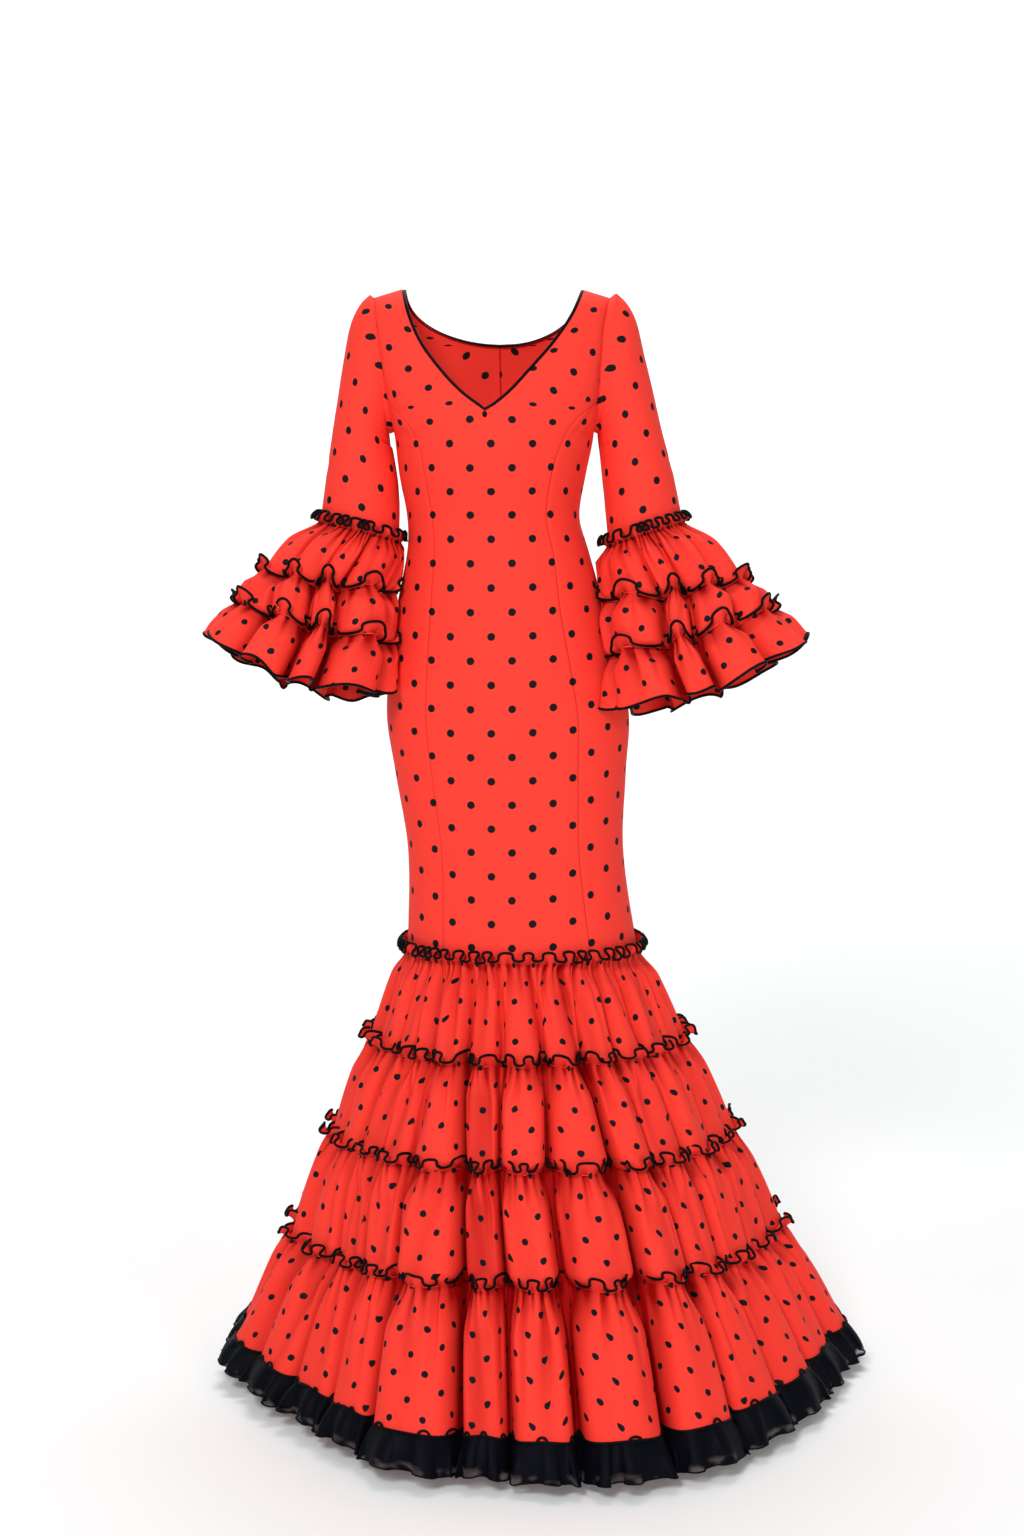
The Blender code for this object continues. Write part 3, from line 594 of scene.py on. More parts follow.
def panel_sheet(levels, start, end, columns, turned=(True, True), lean=0.0):
    """A panel between two seam lines given as functions of the level, with its allowances turned in."""
    rows, across_rows = [], []
    for level in levels:
        first, last = start(level), end(level)
        way = math.copysign(1, last - first)
        roll = min(SEAM_ROLL, abs(last - first) / 3)
        span = last - first - 2 * way * roll
        inner = [first + way * roll + span * i / columns for i in range(columns + 1)]
        angles = [first] + inner + [last]
        row = [on_body(level, angle, creased(level, angle)) for angle in angles]
        if turned[0]:
            row[0] = on_body(level, first, -SEAM_DIP)
            row.insert(0, on_body(level, first, -ALLOWANCE))
            angles.insert(0, first)
        if turned[1]:
            row[-1] = on_body(level, last, -SEAM_DIP)
            row.append(on_body(level, last + way * lean * half_seam_angle(level), -ALLOWANCE))
            angles.append(last)
        rows.append(row)
        across_rows.append([cloth_across(level, angle) for angle in angles])
    dot_row = min(range(len(levels)), key=lambda i: abs(levels[i] - DOT_LEVEL))
    return rows, flat_places(rows, across_rows, dot_row), None


# %%  The body's panels
CENTRE_COLUMNS, SIDE_COLUMNS = 24, 20
BACK_LEAN = 0.9  # the centre-back allowances lean together, so that no light passes between them


def seam(side, gap, back):
    """A princess seam by level, half a seam's space to one side of its line."""
    return lambda level: princess_angle(level, side, back) + gap * side * half_seam_angle(level)


def side_angle(side, back):
    """The body's side, given from the back by a hair's breadth more."""
    return (90.0001 if back else 90.0) * side


def outer_edge(side, back):
    """The outer edge of a centre panel: the armhole above, the princess seam below."""
    below = seam(side, 1 if back else -1, back)
    return lambda level: side_angle(side, back) if level >= PRINCESS_TOP else below(level)


def centre_back_edge(side):
    return lambda level: back_neck_angle(level, side) - side * half_seam_angle(level)


front_halves = [
    panel_sheet(FULL_HEIGHT, outer_edge(side, False), lambda level, s=side: front_neck_angle(level, s),
                CENTRE_COLUMNS, (True, False))
    for side in SIDES.values()
]
body_pieces = {"centre_front": cloth("cloth_centre_front", front_halves, body_crepe)}
for side_name, side in SIDES.items():
    for part_name, back in (("side_front", False), ("side_back", True)):
        name = f"{part_name}_{side_name}"
        sheet = panel_sheet(SIDE_HEIGHT, seam(side, -1 if back else 1, back),
                            lambda level: side_angle(side, back), SIDE_COLUMNS)
        body_pieces[name] = cloth("cloth_" + name, [sheet], body_crepe)
    name = f"centre_back_{side_name}"
    sheet = panel_sheet(FULL_HEIGHT, outer_edge(side, True), centre_back_edge(side), CENTRE_COLUMNS,
                        lean=BACK_LEAN)
    body_pieces[name] = cloth("cloth_" + name, [sheet], body_crepe)
for node, piece in body_pieces.items():
    print(node, "is", round(area_of(piece), 3), "square metres")

# %% [markdown]
# ## Piping the neckline
# A thin black satin piping follows the V and the back scoop. It is a cord sewn into the edge, so it is made
# as a cord that runs beside the panels' cut edge, in the cloth's own surface. A small knot of the same
# satin covers the point of the V.

# %%  Piping
PIPING_RADIUS = 0.0022
PIPING_STAND = 0.7  # share of its radius that the piping stands clear of the cut edge
V_STAND = 1.4  # the same at the point of the V
NECK_STEP = 0.002
NECK_PROBE = 1.0  # degrees into the cloth, to find which way that is


def beside_neck(level, angle_for, side, back):
    point = on_body(level, angle_for(level, side))
    along = on_body(level - NECK_STEP, angle_for(level - NECK_STEP, side)) - point
    into = on_body(level, angle_for(level, side) + (side if back else -side) * NECK_PROBE) - point
    into -= into.project(along)
    return point + into.normalized() * PIPING_RADIUS * PIPING_STAND


front_levels = levels_between(-0.004, V_FOOT + 0.004, 0.004)
scoop_levels = levels_between(-0.002, -0.066, 0.003)
scoop_levels += levels_between(-0.066, 0.0002 - NECK_BACK_DEPTH, 0.0008)
v_foot = on_body(V_FOOT, FRONT_TURN)
neck_path = [beside_neck(level, front_neck_angle, -1, False) for level in front_levels]
neck_path.append(v_foot + (on_body(V_FOOT + PIPING_RADIUS, FRONT_TURN) - v_foot) * V_STAND)
neck_path += [beside_neck(level, front_neck_angle, 1, False) for level in front_levels[::-1]]
neck_path += [beside_neck(level, back_neck_angle, 1, True) for level in scoop_levels]
neck_path.append(on_body(-NECK_BACK_DEPTH + PIPING_RADIUS * PIPING_STAND, 180 + FRONT_TURN))
neck_path += [beside_neck(level, back_neck_angle, -1, True) for level in scoop_levels[::-1]]
piping = cord_along("cloth_neck_piping", [neck_path], PIPING_RADIUS, satin)
print("the piping is", round(distances_along(neck_path)[-1], 2), "m long")

# %%  Knot
KNOT_SIZE = Vector((0.003, 0.0022, 0.0042))  # half width, half depth, half height
KNOT_DROP, KNOT_STAND = 0.0035, 0.0014  # below the point of the V, and in front of the cloth
bm = bmesh.new()
bmesh.ops.create_uvsphere(bm, u_segments=16, v_segments=10, radius=1.0)
bmesh.ops.scale(bm, vec=KNOT_SIZE, verts=bm.verts)
bmesh.ops.translate(bm, vec=on_body(V_FOOT - KNOT_DROP, FRONT_TURN, KNOT_STAND), verts=bm.verts)
knot = smooth_piece("v_knot", bm, satin)
print("the knot is", round(2000 * KNOT_SIZE.z, 1), "mm high")

# %% [markdown]
# ## Rings and hoops
# Sleeves and skirt are built round rings. A sleeve ring is given by its inner and outer point as seen from
# the front, which is how a sleeve is read off its outline. A hoop holds the same ring as a centre and two
# arms.

# %%  Rings of the sleeves and of the cuffs
SleeveRing = namedtuple(
    "SleeveRing", "inner inner_z outer outer_z middle half_depth pitch lift", defaults=(0.0,))
SLEEVE_ROWS = (  # inner and outer point of the left ring, of the right ring, and what both share
    ((0.1402, -0.189, 0.165, -0.0065), (0.138, -0.189, 0.1625, -0.0045), (0.003, 0.052, 0)),
    ((0.14, -0.1925, 0.1788, -0.0205), (0.1382, -0.1925, 0.1775, -0.019), (0.003, 0.0535, 0)),
    ((0.1396, -0.196, 0.1915, -0.048), (0.1385, -0.196, 0.1898, -0.043), (0.003, 0.0535, 0)),
    ((0.139, -0.2, 0.2005, -0.093), (0.139, -0.201, 0.2, -0.085), (0.003, 0.053, 0)),
    ((0.1382, -0.206, 0.2082, -0.14), (0.1397, -0.2075, 0.2112, -0.13), (0.002, 0.0525, 0)),
    ((0.1345, -0.215, 0.216, -0.188), (0.1412, -0.218, 0.2235, -0.183), (0.001, 0.052, 1)),
    ((0.127, -0.27, 0.2245, -0.246), (0.147, -0.274, 0.2395, -0.243), (-0.001, 0.052, 2)),
    ((0.1275, -0.3335, 0.233, -0.308), (0.1535, -0.339, 0.253, -0.3085), (-0.004, 0.054, 4)),
)
CUFF_ROWS = (
    ((0.132, -0.397, 0.311, -0.37), (0.143, -0.407, 0.337, -0.382), (-0.035, 0.086, 9, -0.007)),
    ((0.131, -0.464, 0.345, -0.411), (0.142, -0.483, 0.375, -0.418), (-0.055, 0.101, 11, -0.011)),
    ((0.132, -0.528, 0.388, -0.444), (0.141, -0.549, 0.42, -0.452), (-0.078, 0.114, 10, -0.028)),
)
SLEEVES, CUFFS = (
    {side_name: [SleeveRing(*row[i], *row[2]) for row in rows] for i, side_name in enumerate(SIDES)}
    for rows in (SLEEVE_ROWS, CUFF_ROWS)
)
Hoop = namedtuple("Hoop", "centre side front lift")


def hoop_point(hoop, angle, out=0.0):
    """A point on a hoop: angle 0 is its front, 90 its outer or +X side; out is measured outward."""
    across, facing = math.sin(math.radians(angle)), math.cos(math.radians(angle))
    side = hoop.side * (1 + out / hoop.side.length)
    front = hoop.front * (1 + out / hoop.front.length)
    return hoop.centre + side * across + front * facing + UP * hoop.lift * facing * facing


def hoop_up(hoop):
    """The way that a hoop faces, upwards."""
    square = hoop.side.cross(hoop.front).normalized()
    return square if square.z > 0 else -square


def sleeve_hoop(ring, sign):
    inner = Vector((sign * ring.inner, ring.middle, ring.inner_z))
    outer = Vector((sign * ring.outer, ring.middle, ring.outer_z))
    pitch = math.radians(ring.pitch)
    front = Vector((0, -math.cos(pitch), math.sin(pitch))) * ring.half_depth
    return Hoop((inner + outer) / 2, (outer - inner) / 2, front, ring.lift)


print("the left sleeve runs through", len(SLEEVES["left"] + CUFFS["left"]), "rings")

# %% [markdown]
# ## The sleeves
# A set-in sleeve is a tube whose head is cut a little longer than the armhole and eased in, which gives it
# the slight puff at the shoulder. The rings are joined by a smooth curve, and a few creases are laid where
# an arm bends: round the elbow, under the arm and at the front of the armhole. The sleeve's own allowance
# turns into the body, past the armhole's edge, so that no light passes the seam.

# %%  Creases and ease of a sleeve
SleeveCrease = namedtuple("SleeveCrease", "ring angle slant length width depth")
SLEEVE_CREASES = [SleeveCrease(*row) for row in (  # ring number, degrees round, degrees from the ring, metres
    (3.2, -40, 52, 0.03, 0.006, 0.0022), (4.1, -62, 40, 0.026, 0.0055, 0.002),
    (2.3, -22, 68, 0.03, 0.006, 0.0014), (5.4, -30, 22, 0.03, 0.007, 0.0016),
    (6.2, -50, 14, 0.034, 0.007, 0.0018), (6.6, 24, -24, 0.026, 0.007, 0.0012),
    (5.8, 96, 12, 0.02, 0.008, 0.001), (3.4, 214, -46, 0.028, 0.006, 0.002),
    (4.6, 232, -34, 0.028, 0.006, 0.0018), (6.0, 196, -20, 0.034, 0.007, 0.0018),
    (6.7, 168, 18, 0.028, 0.007, 0.0014),
)]
RING_SPACE = 0.045  # metres from ring to ring
SLEEVE_RADIUS = 0.052
EASE_PLEATS = 26  # tiny pleats if they went all round the sleeve head
EASE_DEPTH = 0.0008
EASE_LENGTH = 0.7  # in rings


def sleeve_relief(place, angle):
    """How far the creases and the ease of the head move the sleeve's cloth."""
    moved = 0.0
    for crease in SLEEVE_CREASES:
        turned = (angle - crease.angle + 180) % 360 - 180
        sideways, down = math.radians(turned) * SLEEVE_RADIUS, (place - crease.ring) * RING_SPACE
        moved += crease_relief(crease, sideways, down)
    head = max(0.0, math.sin(math.radians(angle)))
    fade = math.exp(-place / EASE_LENGTH) * min(1.0, place * 4)
    return moved - EASE_DEPTH * head * fade * (1 + math.cos(math.radians(angle * EASE_PLEATS)))


# %%  Sleeve tubes
SLEEVE_COLUMNS = 96
ROWS_BETWEEN_RINGS = 7
ARMHOLE_GAP = 0.00145  # half a wall and a seam beyond the body's side
ALLOWANCE_LAP = 0.0014  # how far inside the armhole's edge the sleeve's turned-in edge lies
HEAD_PUFF = 0.0012


def ring_through(rings, place):
    """A ring between the given ones, on a smooth curve through them."""
    index = min(int(place), len(rings) - 2)
    part = place - index
    before, first = rings[max(index - 1, 0)], rings[index]
    second, after = rings[index + 1], rings[min(index + 2, len(rings) - 1)]
    values = []
    for a, b, c, d in zip(before, first, second, after):
        values.append(b + part * (c - a) / 2 + part ** 2 * (a - 2.5 * b + 2 * c - d / 2)
                      + part ** 3 * (1.5 * (b - c) + (d - a) / 2))
    return SleeveRing(*values)


def sleeve_sheet(rings, sign):
    angles = [360 * i / SLEEVE_COLUMNS - 90 for i in range(SLEEVE_COLUMNS + 1)]
    middle = ARMHOLE_LOW / 2
    armhole, allowance = [], []
    for angle in angles:
        turn = math.radians(angle + 90)
        point = on_body(middle + middle * math.cos(turn), sign * 90)
        point.y = -ARMHOLE_HALF_DEPTH * math.sin(turn)
        point.x += sign * ARMHOLE_GAP
        armhole.append(point)
        inward = (Vector((point.x, 0, middle)) - point).normalized()
        allowance.append(point + inward * ALLOWANCE_LAP - Vector((sign * ALLOWANCE, 0, 0)))
    rows = [allowance, armhole]
    head = sleeve_hoop(rings[0], sign)
    for part in (0.34, 0.67):
        rows.append([start.lerp(hoop_point(head, angle, HEAD_PUFF * part), part)
                     for start, angle in zip(armhole, angles)])
    for step in range((len(rings) - 1) * ROWS_BETWEEN_RINGS + 1):
        place = step / ROWS_BETWEEN_RINGS
        hoop = sleeve_hoop(ring_through(rings, place), sign)
        rows.append([hoop_point(hoop, angle, sleeve_relief(place, angle)) for angle in angles])
    across = [length * sign for length in distances_along(rows[-1])]
    return rows, flat_places(rows, [across] * len(rows), -1), None


sleeve_pieces = {}
for side_name, sign in SIDES.items():
    sheet = sleeve_sheet(SLEEVES[side_name], sign)
    sleeve_pieces[side_name] = cloth("cloth_sleeve_" + side_name, [sheet], body_crepe)
    print("sleeve", side_name, "is", round(area_of(sleeve_pieces[side_name]), 3), "square metres")

# %% [markdown]
# ## How gathered cloth falls
# A tier is a straight strip, gathered a little below its top edge and sewn down there. Four things show.
# Above the stitching the strip's edge stands up as a frill and curls into round loops. At the stitching the
# cloth puckers. Just below it swells into puffs, with deep valleys between them that the next tier follows.
# And long soft pleats run down each puff. Each of these is a wave round the hoop that fades along the tier,
# with uneven depth, length and spacing. A cloth simulation could find them too, but it would move the seams
# off the solids and gather the puffs in other places.

# %%  Places along a folded line
VALLEY_SHAPE = 0.8  # less makes the valleys broader and the crests narrower
TUBE_SHAPE = 1.05  # more makes the tubes flatter in front
TUBE_ROUND = 0.97  # 1 would make the sides of a tube meet the valley's floor upright


def eased(part):
    part = min(1.0, max(0.0, part))
    return part * part * (3 - 2 * part)


def carried(values, place, softly=False):
    """A value carried from one entry of a ring of values to the next."""
    index = math.floor(place)
    part = eased(place - index) if softly else place - index
    return values[index % len(values)] * (1 - part) + values[(index + 1) % len(values)] * part


def valley_angle(valleys, place):
    """The angle at a place: the whole part counts folds, the rest is the place within one."""
    fold = math.floor(place)
    turns, index = divmod(fold, len(valleys))
    after = valleys[(index + 1) % len(valleys)] + (360 if index + 1 == len(valleys) else 0)
    return 360 * turns + valleys[index] + (after - valleys[index]) * (place - fold)


def valley(place):
    """1 in a valley, 0 on a crest."""
    return ((1 + math.cos(2 * math.pi * place)) / 2) ** VALLEY_SHAPE


def inset(depths, place, fullness, floor):
    """How far the cloth stands in from the crests: soft gathers at fullness 0, round tubes at 1."""
    part = place - math.floor(place)
    off_crest = min(1.0, abs(2 * part - 1) * (1 + floor)) ** TUBE_SHAPE
    tube = 1 - math.sqrt(1 - TUBE_ROUND * off_crest * off_crest)
    return carried(depths, place) * (valley(part) * (1 - fullness) + tube * fullness)


def set_back(backs, place):
    """How far a narrow tube between two broad ones stands back from them."""
    return backs[math.floor(place) % len(backs)] * math.sin(math.pi * place) ** 2


def swell(part, peak):
    """The puff of a tier at a part of its height: nothing at both ends, all of it at the peak."""
    if part <= peak:
        return math.sin(math.pi / 2 * part / peak) ** 1.2
    return 1 - ((part - peak) / (1 - peak)) ** 1.6


def pinched(turn, sharpness=2):
    """A narrow valley at each half turn, nothing between."""
    return ((1 - math.cos(2 * math.pi * turn)) / 2) ** sharpness


# %%  Waves that never repeat exactly
class Waves:
    """Waves round a tier, each with its own size, length and slight shift."""

    def __init__(self, count, folds, seed, uneven=0.35, shift=0.22, phase=0.0):
        chance = random.Random(seed)
        self.rate = count / folds
        self.sizes = [chance.uniform(1 - uneven, 1 + uneven) for _ in range(count)]
        self.lengths = [chance.uniform(0.45, 1.75) for _ in range(count)]
        self.shifts = [chance.uniform(-shift, shift) + phase for _ in range(count)]
        self.drifts = [chance.uniform(-0.5, 0.5) for _ in range(count)]

    def turn(self, place, drift=0.0):
        """How many waves have passed at a place."""
        turn = place * self.rate
        return turn + carried(self.shifts, turn, True) + drift * carried(self.drifts, turn, True)

    def size(self, turn):
        return carried(self.sizes, turn, True)

    def length(self, turn):
        return carried(self.lengths, turn, True)


TierWaves = namedtuple("TierWaves", "frill puckers pleats soft")
UNEVENNESS = (0.35, 0.5, 0.6)  # of puckers, pleats and soft folds


def tier_waves(frill, counts, folds, seed, seed_step):
    """The frill's waves, with those of the puckers, pleats and soft folds under it."""
    return TierWaves(frill, *(Waves(count, folds, seed + seed_step * i, UNEVENNESS[i])
                              for i, count in enumerate(counts)))


# %% [markdown]
# ## One recipe for every tier
# Sleeve and skirt tiers differ only in their rings, folds and sizes, so one recipe makes them all. A form
# gives a point for a place round the tier and a part of its height. The recipe adds the frill above the
# line, the puckers and the pleats below it, and paints shade into the cloth's colour where it lies deep.

# %%  The frill above the line
TierSizes = namedtuple(
    "TierSizes",
    "frill lean_shut lean_open loop pucker pucker_length pleat pleat_length soft columns rows line_space flare",
    defaults=(0.0034, 0.0))
FRILL_STEPS = 7
FRILL_TUCK = 0.28  # how much shorter the frill shows where it curls outward
FRILL_START, FRILL_CURL = 0.35, 0.95  # share of its lean at its foot, and what it gains upwards
FRILL_UNEVEN = 0.1  # share of its height that differs from loop to loop
LOOP_BEND = 1.3  # more keeps the loops' sideways bend nearer the edge
FRILL_SHADE = 0.45  # painted shade at the foot of a frill
FRILL_TICK_SHADE = 0.6  # painted shade of the gathers at the foot of the frill
TICK_SHARPNESS = 3


def frill_column(form, place, point, outward, along, sizes, waves, arched):
    """The frill over one place of its line, from the free edge down, with its painted shade."""
    turn = waves.frill.turn(arched(place))
    open_part = (1 + math.cos(2 * math.pi * turn)) / 2
    size = waves.frill.size(turn + 0.5)
    lean = math.radians(sizes.lean_shut + (sizes.lean_open - sizes.lean_shut) * open_part * size)
    bend = sizes.loop * math.sin(4 * math.pi * turn) * min(1.2, size)
    shown = 1 - FRILL_UNEVEN + FRILL_UNEVEN * size
    piece = sizes.frill * shown * (1 - FRILL_TUCK * open_part) / FRILL_STEPS
    # painted shade on the frill: the fold's hollow below it and the gathers at its foot darken the cloth's
    # colour
    hollow_shade = FRILL_SHADE * form.hollow_shade(place, 0.0)
    foot = FRILL_SHADE + FRILL_TICK_SHADE * pinched(waves.puckers.turn(place), TICK_SHARPNESS)
    points, shades = [], []
    for step in range(1, FRILL_STEPS + 1):
        part = step / FRILL_STEPS
        angle = lean * (FRILL_START + FRILL_CURL * part)
        point = point + outward * math.sin(angle) * piece + form.up * math.cos(angle) * piece
        points.append(point + along * bend * part ** LOOP_BEND)
        shades.append(min(1.0, hollow_shade + foot * (1 - part)))
    return points[::-1], shades[::-1]


# %%  The fall below the line
LINE_SHADE = 0.4  # painted shade just under the line, where the frill shades the cloth
LINE_SHADE_LENGTH = 0.01
TICK_SHADE = 1.3  # painted shade in each pucker
RELIEF_DARK = 0.024  # a crease as deep as this is fully in shade
PLEAT_SHARP = 4  # how much sharper the pleats are at the line
PLEAT_SOFTENS = 0.05  # below the line, how far down they stay sharp
PLEAT_START, PLEAT_GROWS = 0.45, 0.02  # share of a pleat at the line, metres to the rest of it
SOFT_DRIFT = 0.6  # how far the soft folds wander sideways
EDGE_TUCK = 0.0022  # how far a sewn lower edge reaches out to the next line
EDGE_TUCK_BEND = 24
FLARE_LIFT = 0.8  # how much of a free edge's flare goes up and down


def fall_point(form, place, part, height, sizes, waves):
    """One point of the cloth below the line, with its painted shade."""
    down = part * height
    turn = waves.puckers.turn(place)
    fade = sizes.pucker_length * waves.puckers.length(turn)
    ticks = waves.puckers.size(turn) * pinched(turn, TICK_SHARPNESS) * math.exp(-down / fade)
    relief = sizes.pucker * ticks
    turn = waves.pleats.turn(place, part)
    fade = sizes.pleat_length * waves.pleats.length(turn)
    sharpness = 2 + PLEAT_SHARP * max(0.0, 1 - down / PLEAT_SOFTENS)
    begun = min(1.0, PLEAT_START + down / PLEAT_GROWS)
    depth = sizes.pleat * waves.pleats.size(turn) * pinched(turn, sharpness) * begun
    relief += depth * math.exp(-(down / fade) ** 2)
    turn = waves.soft.turn(place, SOFT_DRIFT * part)
    relief += sizes.soft * waves.soft.size(turn) * pinched(turn) * min(1.0, part * 3)
    stand = sizes.line_space * (1 - part) - relief * (1 - part ** 6)
    if form.sewn_below:
        stand += EDGE_TUCK * part ** EDGE_TUCK_BEND
    turn = waves.soft.turn(place)
    flare = sizes.flare * part ** 3 * waves.soft.size(turn)
    point = form(place, part, stand + flare * math.sin(2 * math.pi * turn))
    point = point + form.up * (FLARE_LIFT * flare * math.cos(2 * math.pi * turn))
    # painted shade: deep folds, creases, the strip under the line and each pucker darken the cloth's colour
    shade = form.hollow_shade(place, part) + (relief / RELIEF_DARK) ** 2
    return point, min(1.0, shade + LINE_SHADE * math.exp(-down / LINE_SHADE_LENGTH) + TICK_SHADE * ticks)


# %%  A whole tier
ROW_SPREAD = 1.45  # more puts the rows closer together near the line
MEASURED_AT = 0.72  # part of its height where the strip is measured across
PROBE = 0.001


def tier_sheet(form, folds, sizes, waves, height, arched=lambda place: place):
    """Rows of one tier from the frill's edge down to its lower edge, their flat places and their painted shade.
    """
    columns = sizes.columns
    places = [folds * i / columns for i in range(columns + 1)]
    line = [form(place, 0.0, sizes.line_space) for place in places]
    beyond = [form(place, 0.0, sizes.line_space + PROBE) for place in places]
    outward = [(b - a).normalized() for a, b in zip(line, beyond)]
    along = [(line[(i + 1) % columns] - line[(i - 1) % columns]).normalized() for i in range(columns)]
    along.append(along[0])
    frill = [frill_column(form, *start, sizes, waves, arched) for start in zip(places, line, outward, along)]
    rows = [list(row) for row in zip(*(points for points, _ in frill))]
    painted_shades = [list(row) for row in zip(*(shades for _, shades in frill))]
    for r in range(sizes.rows + 1):
        part = (r / sizes.rows) ** ROW_SPREAD
        row, shades = zip(*(fall_point(form, place, part, height, sizes, waves) for place in places))
        rows.append(list(row))
        painted_shades.append(shades)
    across = distances_along(rows[FRILL_STEPS + int(sizes.rows * MEASURED_AT)])
    return rows, flat_places(rows, [across] * len(rows), FRILL_STEPS), painted_shades


# %% [markdown]
# ## The skirt's lines and folds
# Five lines cross the skirt where its tiers are sewn together and end. Each is a slightly tilted oval,
# given by its middle, its two half sizes and its levels. Twenty-four folds run down through all of them.
# Their angles are listed for every line, because the folds spread unevenly and some lean to one side.

# %%  Lines and folds of the skirt
SkirtLine = namedtuple("SkirtLine", "middle half_width half_depth side_z front_z")
SKIRT_LINES = [SkirtLine(*row) for row in (  # the first line is the body's own lower edge
    (0.045, 0.2175, 0.209, -1.0107, -1.0054),
    (0.052, 0.28, 0.271, -1.1446, -1.1298),
    (0.0565, 0.344, 0.336, -1.2825, -1.2611),
    (0.0635, 0.425, 0.432, -1.42, -1.418),
)]
HEM_LINE = SkirtLine(0.065, 0.446, 0.455, -1.46, -1.46)
SkirtFold = namedtuple("SkirtFold", "line_2 line_3 line_4 line_5 depth reach")
SKIRT_FOLDS = [SkirtFold(*row) for row in (
    (-76, -79, -74, -75, 0.8, -0.027), (-58, -64, -58, -59, 0.8, -0.032), (-47, -51, -46, -45, 0.6, -0.02),
    (-38, -38, -35, -33, 0.8, 0.01), (-24, -20, -17, -15, 1.3, 0.004), (-10, -10, -7, -6, 1.0, 0.006),
    (6, 4, 6, 6, 1.2, 0.02), (22, 24, 24, 22, 1.4, 0.004), (35, 37, 38, 37, 0.9, -0.016),
    (50, 51, 51, 53, 0.9, -0.032), (67, 68, 66, 69, 0.8, -0.03), (83, 84, 83, 85, 1.0, 0.002),
    (98, 97, 99, 98, 0.8, 0.004), (112, 114, 113, 112, 1.1, -0.01), (129, 128, 130, 129, 0.8, 0.006),
    (144, 146, 144, 147, 1.2, -0.008), (162, 160, 162, 161, 0.9, 0.01), (177, 178, 176, 178, 1.3, 0.006),
    (193, 191, 192, 191, 0.8, -0.006), (207, 209, 207, 208, 1.1, 0.008), (224, 222, 224, 223, 0.9, -0.008),
    (239, 240, 238, 240, 1.2, 0.004), (254, 253, 255, 254, 0.8, -0.006), (269, 268, 270, 269, 1.0, -0.003),
)]
FOLDS = len(SKIRT_FOLDS)
LineFolds = namedtuple("LineFolds", "valleys depths reaches")
SKIRT_DEPTHS = (0.0, 0.034, 0.042, 0.05, 0.054)  # of the folds, line by line
SKIRT_REACHES = (0.0, 0.1, 0.3, 0.65, 1.0)  # share of each fold's reach beyond an even ring
SKIRT_SAGS = (0.0, 0.003, 0.004, 0.005, 0.008)  # how much lower a line hangs in the valleys
SKIRT_BACKS = {1: 0.009, 2: 0.007, 4: 0.017, 6: 0.007, 8: 0.009}  # set-back of narrow tubes, by fold
SKIRT_BACK_SHARES = (0.3, 0.9, 1.0, 0.7, 0.7)  # share of it tier by tier, and then at the ruffle


def oval_hoop(oval):
    return Hoop(Vector((oval.middle, 0, oval.side_z)), Vector((oval.half_width, 0, 0)),
                Vector((0, -oval.half_depth, 0)), oval.front_z - oval.side_z)


def line_hoop(line):
    if line > 1:
        return oval_hoop(SKIRT_LINES[line - 2])
    left, right = on_body(BODY_LOW, -90), on_body(BODY_LOW, 90)
    section = section_at(BODY_LOW)
    depth = (section.front + section.back) / 2
    return Hoop((left + right) / 2, (right - left) / 2, Vector((0, -depth, 0)), 0.0)


def line_folds(line):
    """Valley angles, depths and reaches of the folds at a line."""
    return LineFolds([fold[max(line - 2, 0)] for fold in SKIRT_FOLDS],
                     [fold.depth * SKIRT_DEPTHS[line - 1] for fold in SKIRT_FOLDS],
                     [fold.reach * SKIRT_REACHES[line - 1] for fold in SKIRT_FOLDS])


def skirt_backs(tier):
    return [SKIRT_BACKS.get(fold, 0.0) * SKIRT_BACK_SHARES[tier - 1] for fold in range(FOLDS)]


print(FOLDS, "folds cross", len(SKIRT_LINES) + 1, "lines")

# %%  The form of a tier
LINE_FULLNESS = 0.42  # how far the gathers are open at a line
OPEN_LENGTH = 0.34  # part of a tier over which they open
CLOSE_LENGTH = 0.13
HOLLOW_DEPTH = 0.042  # a valley as deep as this is in full shade
HOLLOW_SHAPE = 2.8
TierShape = namedtuple("TierShape", "floor puff puff_at overhang_shut overhang_open")


def between(first, second, part):
    """The numbers or vectors part of the way from one list to another."""
    return [a + (b - a) * part for a, b in zip(first, second)]


